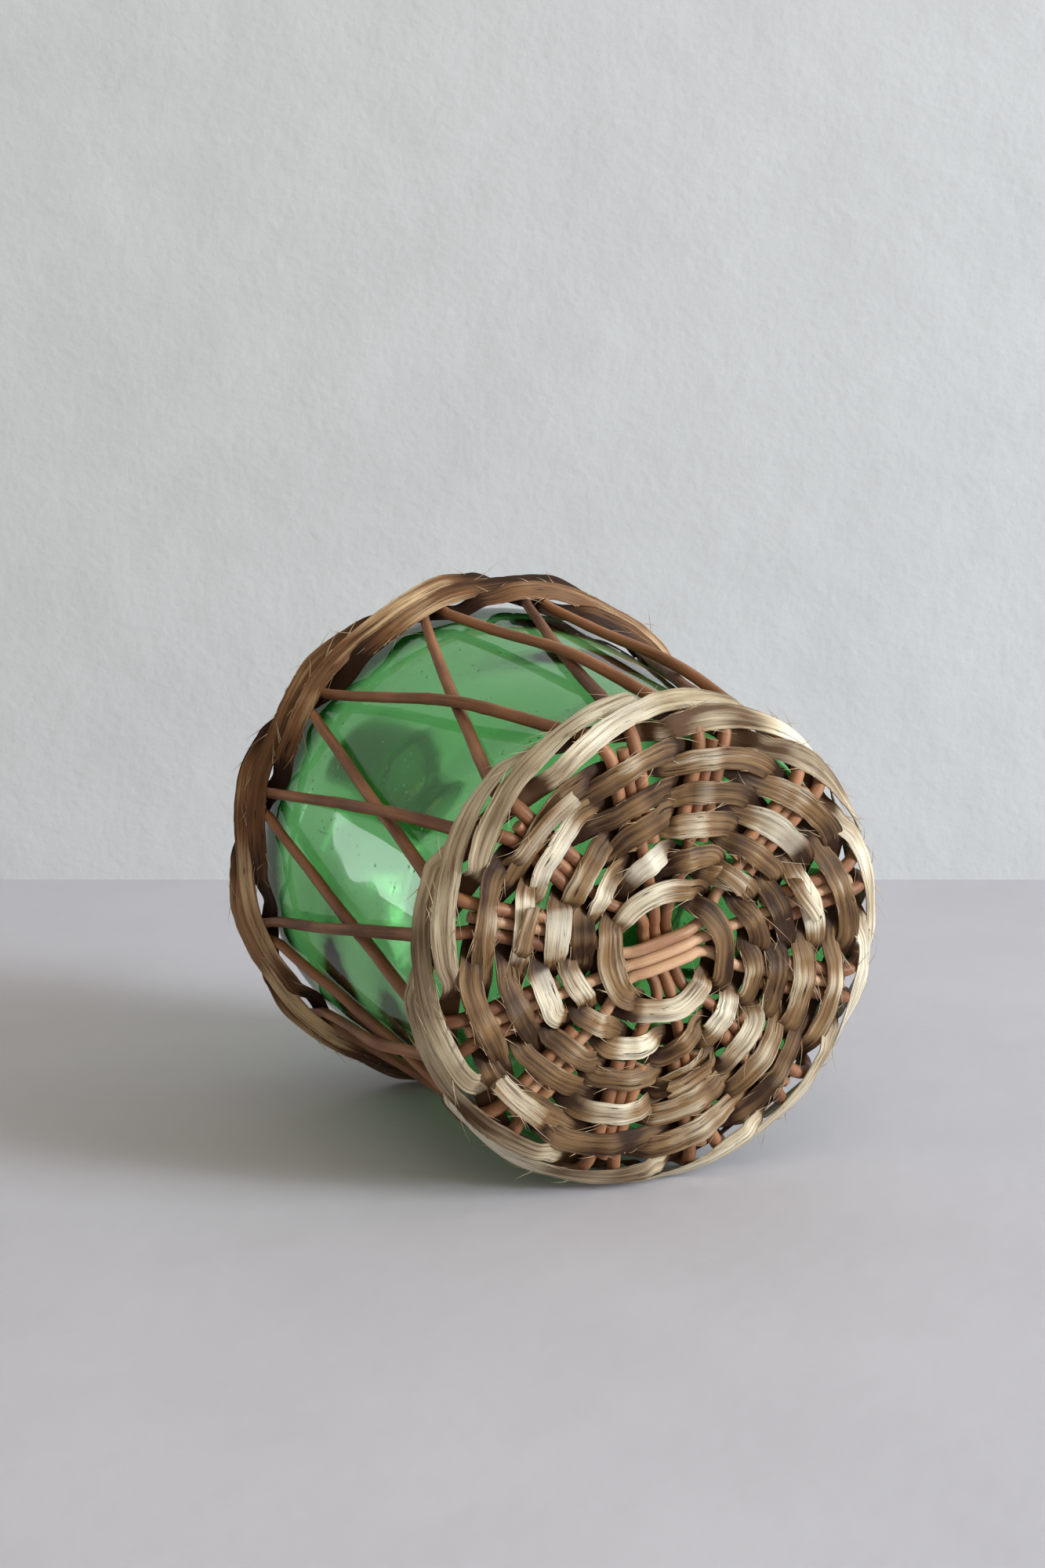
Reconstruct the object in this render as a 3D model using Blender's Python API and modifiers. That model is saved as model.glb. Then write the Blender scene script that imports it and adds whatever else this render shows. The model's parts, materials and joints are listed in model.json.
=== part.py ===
"""A green glass demijohn in an open willow basket, lying on its side, with its cork.

Everything is drawn standing upright, with the bottle's axis on Z and the underside of the basket at
height 0, and then laid down by one empty: the woven base faces -Y and the neck points to +Y. Sizes are
in metres and angles in degrees. Angles round the bottle are counted from +X towards +Y, and the side
at 90 degrees is the one that lies on the floor.
"""

import math
from typing import Callable, NamedTuple

import bmesh
import bpy
import numpy as np
from mathutils import Matrix, Vector

# Fit between neighbouring pieces
CLEARANCE = 0.0003

# Glass bottle
GLASS_RADIUS = 0.0975
SIDE_TAPER = 0.0109
SHOULDER_HEIGHT = 0.1660
SHOULDER_RISE = 0.0640
HEEL_RADIUS = 0.0150
FOOT_RING_WIDTH = 0.0056
PUNT_DEPTH = 0.0060
NECK_LENGTH = 0.0700
NECK_WALL = 0.0040
NECK_FILLET = 0.0110
BORE_RADIUS = 0.0130
LIP_PROJECTION = 0.0035
LIP_HEIGHT = 0.0120
LIP_ROUNDING = 0.0025
GLASS_WALL = 0.0032
GLASS_BASE_WALL = 0.0050
HEEL_FOOT_ANGLE = -80.0
FILLET_FOOT_ANGLE = 250.0
GLASS_STEPS = 36
PUNT_STEPS = 3
SIDE_STEPS = 3

# Cork
CORK_DEPTH = 0.0220
CORK_STAND = 0.0120
CORK_TAPER = 0.0350
CORK_CHAMFER = 0.0010
CORK_STEPS = 24

# Round willow
ROD_DIAMETER = 0.0045
ROD_BEVEL_STEPS = 2
GROUP_ANGLES = (15.0, 46.0, 75.0, 105.0, 137.0, 164.0, 195.0, 221.0, 255.0, 281.0, 314.0, 345.0)

# Base sticks: three laid across three, opened out into the spokes
SLATH_STICKS = 3
SLATH_ANGLE = -15.0
SLATH_REST = 0.0016
SLATH_STEP = 0.0040
SLATH_FALL = 0.6
SLATH_OPENING = 0.0210
OPENING_STEPS = 4
STICK_SHORTFALL = 0.0089

# Side stakes: where each leaves the rim and enters the band, in degrees from its group
FORWARD_FOOT = 3.2
BACKWARD_FOOT = -8.0
FORWARD_HEAD = -5.0
BACKWARD_HEAD = 1.0
STAKE_START_GAP = 0.0005
BEND_LEAD = 0.0020
BEND_STEPS = 4
RIM_HOLLOW = 0.0078
STAND_OFF_RUN = 0.0140
CROSSING_REACH = 0.0500
CROSSING_SHOULDER = 0.0200
BAND_FLARE = 0.0065
STAKE_TIP_SHORTFALL = 0.0010

# Flat split strips
STRIP_THICKNESS = 0.0012
BASE_STRIP_WIDTH = 0.00605
BASE_STRANDS = 2
BASE_KNOTS = 3
BASE_SEAM_STEP = 5
FIRST_ROUND_GAP = 0.0045
SLATH_TIE_HALF_ANGLE = 34.0
STICK_REST = 0.0015
BASE_LAP = 0.0020
WALE_STRANDS = 3
WALE_KNOTS = 4
WALE_TAUTNESS = 0.6
RIM_STRIP_WIDTH = 0.0074
RIM_WALE_START = 0.0018
RIM_REST = 0.0038
RIM_SEAM = 1
BAND_STRIP_WIDTH = 0.0074
BAND_DROP = 0.0090
BAND_REST = 0.0013
BAND_SEAM = 3

# Laying down
LARGEST_TILT = 30.0
TILT_ROUNDS = 40

# Colours: red, green, blue, then roughness
GREEN_GLASS = (0.10, 0.42, 0.16, 0.08)
BROWN_WILLOW = (0.20, 0.085, 0.040, 0.55)
PEELED_WILLOW = (0.46, 0.24, 0.13, 0.55)
STRAW_STRIP = (0.42, 0.30, 0.17, 0.60)
RUSSET_STRIP = (0.30, 0.13, 0.055, 0.50)
CORK_BROWN = (0.44, 0.28, 0.15, 0.85)

# Glass sizes worked out from those above
NECK_RADIUS = BORE_RADIUS + NECK_WALL
LIP_RADIUS = NECK_RADIUS + LIP_PROJECTION
MOUTH_HEIGHT = SHOULDER_HEIGHT + SHOULDER_RISE + NECK_LENGTH
HEEL_CENTRE_RADIUS = GLASS_RADIUS - SIDE_TAPER - HEEL_RADIUS

# Heights of the base, from the underside of its strips up to the glass
ROD_RADIUS = ROD_DIAMETER / 2
ROD_SPACING = ROD_DIAMETER + CLEARANCE
WEAVE_LIFT = ROD_RADIUS + CLEARANCE + STRIP_THICKNESS / 2
ROD_LEVEL = WEAVE_LIFT + STRIP_THICKNESS / 2
SLATH_LEVEL = ROD_RADIUS + CLEARANCE
GLASS_UNDERSIDE = ROD_LEVEL + WEAVE_LIFT + STRIP_THICKNESS / 2 + CLEARANCE

# Places along the base, from the middle outwards
GROUPS = len(GROUP_ANGLES)
GROUP_HALF_WIDTH = ROD_SPACING + ROD_RADIUS + CLEARANCE
SLATH_CROSS_HALF = GROUP_HALF_WIDTH + SLATH_REST
SLATH_HALF_LENGTH = SLATH_CROSS_HALF + SLATH_STEP
SLATH_OPEN_RADIUS = SLATH_HALF_LENGTH + SLATH_OPENING
BASE_ROUND_PITCH = BASE_STRANDS * (BASE_STRIP_WIDTH + CLEARANCE)
BASE_ROUND_FIRST = SLATH_HALF_LENGTH + FIRST_ROUND_GAP + BASE_ROUND_PITCH / 2
STAKE_START_RADIUS = BASE_ROUND_FIRST + 1.5 * BASE_ROUND_PITCH + STAKE_START_GAP

# Run of the stakes up the side
STAND_OFF = STRIP_THICKNESS + 2 * CLEARANCE
RIM_BEND_RADIUS = RIM_HOLLOW + WEAVE_LIFT
RIM_BEND_LENGTH = RIM_BEND_RADIUS * math.pi / 2
RIM_EXIT_HEIGHT = ROD_LEVEL + RIM_BEND_RADIUS
BAND_HEIGHT = SHOULDER_HEIGHT - BAND_DROP


def unit(angle):
    """Direction in the plane of the base at an angle in degrees."""
    turn = math.radians(angle)
    return Vector((math.cos(turn), math.sin(turn), 0.0))


def around(angle, radius, height):
    """Point at an angle, a distance from the axis and a height."""
    return unit(angle) * radius + Vector((0.0, 0.0, height))


def blend(start, end, share):
    """Value part of the way from start to end."""
    return start + (end - start) * share


def ease(value, start, end):
    """0 before start, 1 after end, and a smooth rise between them."""
    share = min(max((value - start) / (end - start), 0.0), 1.0)
    return share * share * (3.0 - 2.0 * share)


def group_angle(index):
    """Angle of a spoke group, counted on past a full turn for indices outside the list."""
    return GROUP_ANGLES[index % GROUPS] + 360.0 * (index // GROUPS)


# Outline of the glass

def glass_side_radius(height):
    """Outer radius of the tapering side, also read on below the heel."""
    heel_top = GLASS_UNDERSIDE + HEEL_RADIUS
    share = (height - heel_top) / (SHOULDER_HEIGHT - heel_top)
    return GLASS_RADIUS - SIDE_TAPER * (1.0 - share)


def arc_points(centre, radii, start, end, count):
    """Points along an elliptical arc in the radius and height plane, angles in degrees."""
    points = []
    for index in range(count):
        turn = math.radians(blend(start, end, index / (count - 1)))
        points.append((centre[0] + radii[0] * math.cos(turn), centre[1] + radii[1] * math.sin(turn)))
    return points


def body_outline(inset, floor_inset):
    """Outline from the centre of the base up to the foot of the neck, moved inwards by the wall."""
    floor = GLASS_UNDERSIDE + floor_inset
    foot_radius = HEEL_CENTRE_RADIUS - FOOT_RING_WIDTH
    points = []
    for step in range(PUNT_STEPS + 1):
        share = step / PUNT_STEPS
        points.append((foot_radius * share, floor + PUNT_DEPTH * (1.0 - share * share)))
    heel_centre = (HEEL_CENTRE_RADIUS, GLASS_UNDERSIDE + HEEL_RADIUS)
    heel_radii = (HEEL_RADIUS - inset, HEEL_RADIUS - floor_inset)
    points += arc_points(heel_centre, heel_radii, HEEL_FOOT_ANGLE, 0.0, 6)
    for step in range(1, SIDE_STEPS):
        height = blend(heel_centre[1], SHOULDER_HEIGHT, step / SIDE_STEPS)
        points.append((glass_side_radius(height) - inset, height))
    shoulder_radii = (GLASS_RADIUS - inset, SHOULDER_RISE - inset)
    last = math.degrees(math.acos((NECK_RADIUS + NECK_FILLET) / shoulder_radii[0]))
    points += arc_points((0.0, SHOULDER_HEIGHT), shoulder_radii, 0.0, last, 9)
    return points


def bottle_outline():
    """Closed outline of the glass: up the inside, over the lip and down the outside."""
    inner = body_outline(GLASS_WALL, GLASS_BASE_WALL)
    outer = body_outline(0.0, 0.0)
    fillet_height = outer[-1][1] + NECK_FILLET
    inner_turn = NECK_FILLET + NECK_WALL
    inner_centre = (BORE_RADIUS + inner_turn, fillet_height)
    inner_radii = (inner_turn, fillet_height - inner[-1][1])
    inner += arc_points(inner_centre, inner_radii, FILLET_FOOT_ANGLE, 180.0, 4)
    outer_centre = (NECK_RADIUS + NECK_FILLET, fillet_height)
    outer += arc_points(outer_centre, (NECK_FILLET, NECK_FILLET), FILLET_FOOT_ANGLE, 180.0, 4)
    lip_foot = MOUTH_HEIGHT - LIP_HEIGHT
    turn = LIP_ROUNDING
    outer += [(NECK_RADIUS, lip_foot - turn)]
    outer += arc_points((LIP_RADIUS - turn, lip_foot + turn), (turn, turn), -90.0, 0.0, 3)
    outer += arc_points((LIP_RADIUS - turn, MOUTH_HEIGHT - turn), (turn, turn), 0.0, 90.0, 3)
    mouth = [(BORE_RADIUS, MOUTH_HEIGHT - turn / 2), (BORE_RADIUS + turn / 2, MOUTH_HEIGHT)]
    return inner + mouth + outer[::-1]


def cork_outline():
    """Outline of the cork down its outer side, in heights above the mouth."""
    fit = BORE_RADIUS - CLEARANCE
    top = fit + CORK_TAPER * CORK_STAND
    bottom = fit - CORK_TAPER * CORK_DEPTH
    upper = [(0.0, CORK_STAND), (top - CORK_CHAMFER, CORK_STAND), (top, CORK_STAND - CORK_CHAMFER)]
    lower = [(bottom, CORK_CHAMFER - CORK_DEPTH), (bottom - CORK_CHAMFER, -CORK_DEPTH), (0.0, -CORK_DEPTH)]
    return upper + [(fit, 0.0)] + lower


# Run of the stakes, as seen from the side

def wale_reach(strip_width):
    """Length along the stakes that the strands of a wale cover side by side."""
    return WALE_STRANDS * (strip_width + CLEARANCE)


def rim_wale_top():
    """Height of the upper edge of the rim strips."""
    return RIM_EXIT_HEIGHT + RIM_WALE_START + wale_reach(RIM_STRIP_WIDTH) - RIM_BEND_LENGTH


def band_top_height():
    """Height of the upper edge of the shoulder band."""
    return BAND_HEIGHT + wale_reach(BAND_STRIP_WIDTH)


def stand_off(height):
    """Room left between the glass and the stakes for the strips that pass behind them."""
    at_rim = 1.0 - ease(height, rim_wale_top(), rim_wale_top() + STAND_OFF_RUN)
    at_band = ease(height, BAND_HEIGHT - STAND_OFF_RUN, BAND_HEIGHT)
    return STAND_OFF * (at_rim + at_band)


def flare(height):
    """How far the stakes lean out from the glass inside the shoulder band."""
    top = band_top_height()
    share = max(0.0, (height - BAND_HEIGHT) / (top - BAND_HEIGHT))
    return BAND_FLARE * share


def stake_radius(height):
    """Distance of a stake's middle from the axis at a height on the side."""
    on_glass = glass_side_radius(height) + CLEARANCE + ROD_RADIUS
    return on_glass + stand_off(height) + flare(height)


def stake_lean(low, high):
    """Angle in radians by which the stakes lean out between two heights."""
    return math.atan2(stake_radius(high) - stake_radius(low), high - low)


def bend_start_radius():
    """Distance from the axis at which the stakes start to bend up."""
    return stake_radius(RIM_EXIT_HEIGHT) - RIM_BEND_RADIUS


def rim_profile(distance):
    """Point and outward direction of the stakes' line at the rim, by the distance from where it bends."""
    if distance < RIM_BEND_LENGTH:
        turn = distance / RIM_BEND_RADIUS
        normal = Vector((math.sin(turn), -math.cos(turn)))
        return Vector((bend_start_radius(), RIM_EXIT_HEIGHT)) + normal * RIM_BEND_RADIUS, normal
    lean = stake_lean(RIM_EXIT_HEIGHT, rim_wale_top())
    height = RIM_EXIT_HEIGHT + (distance - RIM_BEND_LENGTH) * math.cos(lean)
    return Vector((stake_radius(height), height)), Vector((math.cos(lean), -math.sin(lean)))


def band_profile(distance):
    """Point and outward direction of the stakes' line in the band, by the distance above its lower edge."""
    lean = stake_lean(BAND_HEIGHT, band_top_height())
    height = BAND_HEIGHT + distance * math.cos(lean)
    return Vector((stake_radius(height), height)), Vector((math.cos(lean), -math.sin(lean)))


# Blender helpers

def clear_scene():
    """Remove every object, so that the script can be run again in an open file."""
    for item in list(bpy.data.objects):
        bpy.data.objects.remove(item, do_unlink=True)


def new_collection(name):
    """Collection in the scene for the object's parts."""
    collection = bpy.data.collections.new(name)
    bpy.context.scene.collection.children.link(collection)
    return collection


def new_material(name, finish, metallic=0.0):
    """Principled material from a colour and a roughness."""
    material = bpy.data.materials.new(name)
    material.use_nodes = True
    shader = material.node_tree.nodes["Principled BSDF"]
    shader.inputs["Base Color"].default_value = (*finish[:3], 1.0)
    shader.inputs["Roughness"].default_value = finish[3]
    shader.inputs["Metallic"].default_value = metallic
    return material


def place(item, collection, parent, finish):
    """Link an object, give it its material and hang it on its parent."""
    collection.objects.link(item)
    item.parent = parent
    item.data.materials.append(new_material(item.name + "_finish", finish))
    return item


def turned(name, outline, steps, finish, collection, parent):
    """Solid of revolution round Z from an outline that ends on the axis."""
    mesh = bpy.data.meshes.new(name)
    edges = [(index, index + 1) for index in range(len(outline) - 1)]
    mesh.from_pydata([(radius, 0.0, height) for radius, height in outline], edges, [])
    item = bpy.data.objects.new(name, mesh)
    screw = item.modifiers.new("turn", "SCREW")
    screw.steps = steps
    screw.render_steps = steps
    screw.use_merge_vertices = True
    screw.merge_threshold = 0.00001
    screw.use_smooth_shade = True
    return place(item, collection, parent, finish)


def rod(name, points, finish, collection, parent):
    """Round willow rod along a row of points."""
    curve = bpy.data.curves.new(name, "CURVE")
    curve.dimensions = "3D"
    curve.bevel_depth = ROD_RADIUS
    curve.bevel_resolution = ROD_BEVEL_STEPS
    curve.use_fill_caps = True
    spline = curve.splines.new("POLY")
    spline.points.add(len(points) - 1)
    for knot, point in zip(spline.points, points):
        knot.co = (*point, 1.0)
    return place(bpy.data.objects.new(name, curve), collection, parent, finish)


def strip(name, rows, finish, collection, parent):
    """Flat split strip: a narrow grid whose pairs of edge points are moved onto the woven path."""
    bm = bmesh.new()
    bmesh.ops.create_grid(bm, x_segments=len(rows) - 1, y_segments=1, size=0.5)
    for vert in bm.verts:
        row = rows[round((vert.co.x + 0.5) * (len(rows) - 1))]
        vert.co = row[1] if vert.co.y > 0.0 else row[0]
    mesh = bpy.data.meshes.new(name)
    bm.to_mesh(mesh)
    bm.free()
    item = bpy.data.objects.new(name, mesh)
    wall = item.modifiers.new("thickness", "SOLIDIFY")
    wall.thickness = STRIP_THICKNESS
    wall.offset = 0.0
    return place(item, collection, parent, finish)


# Round willow

def hermite(start, start_slope, end, end_slope, share):
    """Point on the smooth curve between two points with given slopes."""
    square = share * share
    cube = square * share
    return (start * (2 * cube - 3 * square + 1) + start_slope * (cube - 2 * square + share)
            + end * (3 * square - 2 * cube) + end_slope * (cube - square))


def stick_half(lane, arm_angle, spoke, level):
    """Half of a base stick, from the middle of the slath out to the rim, as a list of points."""
    along = unit(arm_angle)
    side = unit(arm_angle + 90.0) * lane
    start = along * SLATH_HALF_LENGTH + side
    end = unit(spoke) * SLATH_OPEN_RADIUS
    pull = (end - start).length
    points = []
    for step in range(OPENING_STEPS + 1):
        points.append(hermite(start, along * pull, end, unit(spoke) * pull, step / OPENING_STEPS))
    points.append(unit(spoke) * (stake_radius(RIM_EXIT_HEIGHT) - STICK_SHORTFALL))
    for point in points:
        point.z = ROD_LEVEL
    if level > ROD_LEVEL:
        points[0].z = blend(level, ROD_LEVEL, SLATH_FALL)
    return [along * SLATH_CROSS_HALF + side + Vector((0.0, 0.0, level))] + points


def build_sticks(collection, parent):
    """Three pale sticks across three brown ones, opened out into the twelve spokes."""
    arm_groups = GROUPS // 4
    layers = (("outer", SLATH_ANGLE, -2, SLATH_LEVEL, PEELED_WILLOW),
              ("inner", SLATH_ANGLE + 90.0, arm_groups - 2, SLATH_LEVEL + ROD_SPACING, BROWN_WILLOW))
    for layer, arm, first, level, finish in layers:
        for number in range(SLATH_STICKS):
            lane = (number - (SLATH_STICKS - 1) / 2) * ROD_SPACING
            near_spoke = group_angle(first + number)
            far_spoke = group_angle(first + 2 * arm_groups + SLATH_STICKS - 1 - number)
            near = stick_half(lane, arm, near_spoke, level)
            far = stick_half(-lane, arm + 180.0, far_spoke, level)
            rod(f"base_stick_{layer}_{number + 1}", far[::-1] + near, finish, collection, parent)


def crossing_share(gap):
    """Where two leaning stakes cross, as a share of the way from rim to band."""
    foot_gap = gap + BACKWARD_FOOT - FORWARD_FOOT
    closing = (gap + FORWARD_HEAD - FORWARD_FOOT) + (gap + BACKWARD_FOOT - BACKWARD_HEAD)
    return foot_gap / closing


def stake_points(index, forward):
    """Run of one stake: beside its spoke, round the rim, up the side and through the band."""
    own = group_angle(index)
    if forward:
        neighbour = group_angle(index + 1)
        lane, foot, head = ROD_SPACING, own + FORWARD_FOOT, neighbour + FORWARD_HEAD
        share = crossing_share(neighbour - own)
    else:
        neighbour = group_angle(index - 1)
        lane, foot, head = -ROD_SPACING, own + BACKWARD_FOOT, neighbour + BACKWARD_HEAD
        share = crossing_share(own - neighbour)
    beside = unit(own + 90.0) * lane + Vector((0.0, 0.0, ROD_LEVEL))
    points = [unit(own) * STAKE_START_RADIUS + beside]
    points.append(unit(own) * (bend_start_radius() - BEND_LEAD) + beside)
    start_angle = own + math.degrees(math.atan2(lane, bend_start_radius()))
    for step in range(1, BEND_STEPS + 1):
        spot, _ = rim_profile(RIM_BEND_LENGTH * step / BEND_STEPS)
        points.append(around(blend(start_angle, foot, step / BEND_STEPS), spot.x, spot.y))
    crossing = blend(RIM_EXIT_HEIGHT, BAND_HEIGHT, share)
    heights = [rim_wale_top(), crossing - CROSSING_REACH, crossing - CROSSING_SHOULDER, crossing,
               crossing + CROSSING_SHOULDER, crossing + CROSSING_REACH, BAND_HEIGHT - STAND_OFF_RUN,
               BAND_HEIGHT, band_top_height() - STAKE_TIP_SHORTFALL]
    for height in heights:
        travel = min((height - RIM_EXIT_HEIGHT) / (BAND_HEIGHT - RIM_EXIT_HEIGHT), 1.0)
        radius = stake_radius(height)
        if not forward:
            distance = min(abs(height - crossing) / CROSSING_REACH, 1.0)
            radius += ROD_SPACING * (1.0 + math.cos(math.pi * distance)) / 2
        points.append(around(blend(foot, head, travel), radius, height))
    return points


def build_stakes(collection, parent):
    """Twenty-four side stakes, one on each side of every spoke."""
    for index in range(GROUPS):
        for forward in (True, False):
            lean = "forward" if forward else "backward"
            points = stake_points(index, forward)
            rod(f"side_stake_{lean}_{index + 1:02d}", points, BROWN_WILLOW, collection, parent)


# Woven strips

class Weave(NamedTuple):
    """A band of strips woven side by side round the groups."""
    strands: int
    strip_width: float
    knots: int
    tautness: float
    stops: list
    locate: Callable


def strand_state(strand, gap_index, strands):
    """Lane of a strand in the gap before a group, and whether it passes over that group."""
    phase = (gap_index - strand) % strands
    return phase, phase != strands - 1


def stop_at(stops, index):
    """Start and end angle of a group, counted on past a full turn."""
    turn = 360.0 * (index // len(stops))
    start, end = stops[index % len(stops)]
    return start + turn, end + turn


def woven_rows(weave, strand, seam):
    """Edge points of one strand woven once round, from the group at its seam to the one before it."""
    rows = []
    lane_width = weave.strip_width + CLEARANCE
    middle_lane = (weave.strands - 1) / 2
    last = seam + len(weave.stops) - 1
    for index in range(seam, last + 1):
        start, end = stop_at(weave.stops, index)
        phase, over = strand_state(strand, index, weave.strands)
        lane_before = (phase - middle_lane) * lane_width
        lane_after = ((phase + 1) % weave.strands - middle_lane) * lane_width
        for knot in range(weave.knots):
            share = knot / (weave.knots - 1)
            angle = blend(start, end, share)
            rows.append(weave.locate(angle, blend(lane_before, lane_after, share), 1.0 if over else -1.0))
        if index < last:
            next_start, _ = stop_at(weave.stops, index + 1)
            _, next_over = strand_state(strand, index + 1, weave.strands)
            level = weave.tautness if over and next_over else 0.0
            rows.append(weave.locate((end + next_start) / 2, lane_after, level))
    return rows


def base_locator(radius):
    """Places strip edges flat in the base, on the round of a given radius."""
    def locate(angle, lane, level):
        height = ROD_LEVEL - level * WEAVE_LIFT
        inner = radius + lane - BASE_STRIP_WIDTH / 2
        return around(angle, inner, height), around(angle, inner + BASE_STRIP_WIDTH, height)
    return locate


def profile_locator(profile, start, width, inner_lift):
    """Places strip edges along the stakes' line, flat against the stakes."""
    reach = wale_reach(width)

    def locate(angle, lane, level):
        distance = start + reach / 2 + lane
        spot, normal = profile(distance)
        lift = level * WEAVE_LIFT
        if level < 0.0:
            lift -= inner_lift(distance)
        tangent = Vector((-normal.y, normal.x))
        middle = spot + normal * lift
        low = middle - tangent * width / 2
        high = middle + tangent * width / 2
        return around(angle, low.x, low.y), around(angle, high.x, high.y)
    return locate


def group_stops(half_width, radius):
    """Start and end angles of the twelve groups for a strip at a radius."""
    half_angle = math.degrees(half_width / radius)
    return [(angle - half_angle, angle + half_angle) for angle in GROUP_ANGLES]


def wale_stops(first, second, rest, radius):
    """Start and end angles over pairs of stakes that stand at two angles from each group."""
    middle = (first + second) / 2
    half_angle = abs(first - second) / 2 + math.degrees((ROD_RADIUS + CLEARANCE + rest) / radius)
    return [(angle + middle - half_angle, angle + middle + half_angle) for angle in GROUP_ANGLES]


def rim_corner_lift(distance):
    """Extra room inside the rim bend, where a flat strip spans the curve."""
    sag = RIM_HOLLOW - math.sqrt(RIM_HOLLOW ** 2 - (RIM_STRIP_WIDTH / 2) ** 2)
    return sag * (1.0 - ease(distance, RIM_BEND_LENGTH, RIM_BEND_LENGTH + RIM_STRIP_WIDTH / 2))


def base_stops(number, radius):
    """Where the strips of a base round lie over or under the sticks and stakes."""
    if number == 0:
        arms = [SLATH_ANGLE + 90.0 * arm for arm in range(4)]
        return [(arm - SLATH_TIE_HALF_ANGLE, arm + SLATH_TIE_HALF_ANGLE) for arm in arms]
    if radius < STAKE_START_RADIUS:
        return group_stops(ROD_RADIUS + CLEARANCE + STICK_REST, radius)
    return group_stops(GROUP_HALF_WIDTH, radius)


def build_base_weave(collection, parent):
    """Rounds of two strips each, twisted between the groups of the base."""
    outer_edge = bend_start_radius() + BASE_LAP
    rounds = 1 + int((outer_edge - BASE_ROUND_PITCH / 2 - BASE_ROUND_FIRST) / BASE_ROUND_PITCH)
    for number in range(rounds):
        radius = BASE_ROUND_FIRST + number * BASE_ROUND_PITCH
        stops = base_stops(number, radius)
        weave = Weave(BASE_STRANDS, BASE_STRIP_WIDTH, BASE_KNOTS, 0.0, stops, base_locator(radius))
        for strand in range(BASE_STRANDS):
            rows = woven_rows(weave, strand, BASE_SEAM_STEP * number + strand * GROUPS // BASE_STRANDS)
            strip(f"base_round_{number + 1}_strip_{'ab'[strand]}", rows, STRAW_STRIP, collection, parent)


def build_wale(name, weave, seam, finish, collection, parent):
    """Three strips twisted round the stakes, their ends spread round the circle."""
    for strand in range(weave.strands):
        rows = woven_rows(weave, strand, seam + strand * GROUPS // weave.strands)
        strip(f"{name}_{strand + 1}", rows, finish, collection, parent)


def build_rim(collection, parent):
    """The straw strips round the corner from base to side."""
    stops = wale_stops(FORWARD_FOOT, BACKWARD_FOOT, RIM_REST, glass_side_radius(RIM_EXIT_HEIGHT))
    locate = profile_locator(rim_profile, RIM_WALE_START, RIM_STRIP_WIDTH, rim_corner_lift)
    weave = Weave(WALE_STRANDS, RIM_STRIP_WIDTH, WALE_KNOTS, WALE_TAUTNESS, stops, locate)
    build_wale("rim_strip", weave, RIM_SEAM, STRAW_STRIP, collection, parent)


def build_band(collection, parent):
    """The brown strips round the tops of the stakes."""
    stops = wale_stops(FORWARD_HEAD, BACKWARD_HEAD, BAND_REST, stake_radius(BAND_HEIGHT))
    locate = profile_locator(band_profile, 0.0, BAND_STRIP_WIDTH, lambda distance: 0.0)
    weave = Weave(WALE_STRANDS, BAND_STRIP_WIDTH, WALE_KNOTS, WALE_TAUTNESS, stops, locate)
    build_wale("band_strip", weave, BAND_SEAM, RUSSET_STRIP, collection, parent)


# Glass and cork

def build_bottle(collection, parent):
    """The blown bottle, open at the mouth."""
    turned("glass_bottle", bottle_outline(), GLASS_STEPS, GREEN_GLASS, collection, parent)


def build_cork(collection, parent):
    """The cork, with its origin on the bottle's axis at the mouth."""
    cork = turned("cork_stopper", cork_outline(), CORK_STEPS, CORK_BROWN, collection, parent)
    cork.location = (0.0, 0.0, MOUTH_HEIGHT)


# Laying down

def upright_points(prefix):
    """Corner points of the pieces whose names start with a prefix, in the upright frame."""
    depsgraph = bpy.context.evaluated_depsgraph_get()
    points = []
    for item in bpy.data.objects:
        if item.type == "EMPTY" or not item.name.startswith(prefix):
            continue
        evaluated = item.evaluated_get(depsgraph)
        mesh = evaluated.to_mesh()
        points += [tuple(evaluated.matrix_world @ vert.co) for vert in mesh.vertices]
        evaluated.to_mesh_clear()
    return np.array(points)


def lay_down(holder):
    """Tip the bottle over onto its rim and band, with its lowest point at height 0 and its box centred."""
    rim = upright_points("rim_strip")
    band = upright_points("band_strip")
    low, high = math.radians(-LARGEST_TILT), math.radians(LARGEST_TILT)
    for _ in range(TILT_ROUNDS):
        tilt = (low + high) / 2
        lowest_rim = np.max(rim[:, 1] * math.cos(tilt) - rim[:, 2] * math.sin(tilt))
        lowest_band = np.max(band[:, 1] * math.cos(tilt) - band[:, 2] * math.sin(tilt))
        if lowest_band > lowest_rim:
            low = tilt
        else:
            high = tilt
    turn = Matrix.Rotation(tilt - math.pi / 2, 3, "X")
    points = upright_points("") @ np.array(turn).T
    smallest, largest = points.min(axis=0), points.max(axis=0)
    holder.rotation_euler = (tilt - math.pi / 2, 0.0, 0.0)
    holder.location = (-(smallest[0] + largest[0]) / 2, -(smallest[1] + largest[1]) / 2, -smallest[2])


def main():
    """Build every piece upright and lay the whole down."""
    clear_scene()
    parts = new_collection("demijohn")
    holder = bpy.data.objects.new("lying_bottle", None)
    parts.objects.link(holder)
    build_bottle(parts, holder)
    build_cork(parts, holder)
    build_sticks(parts, holder)
    build_stakes(parts, holder)
    build_base_weave(parts, holder)
    build_rim(parts, holder)
    build_band(parts, holder)
    bpy.context.view_layer.update()
    lay_down(holder)
    bpy.context.view_layer.update()


main()
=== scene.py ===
"""Looks of a green glass demijohn that lies in its open willow basket.

The bottle and its basket are drawn standing upright, with the bottle's axis on Z and the underside of the
basket at height 0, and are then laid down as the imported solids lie. Lengths are in metres. Angles are in
degrees, counted round the axis from +X towards +Y, and the side at 90 degrees is the one on the floor.
"""

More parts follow.
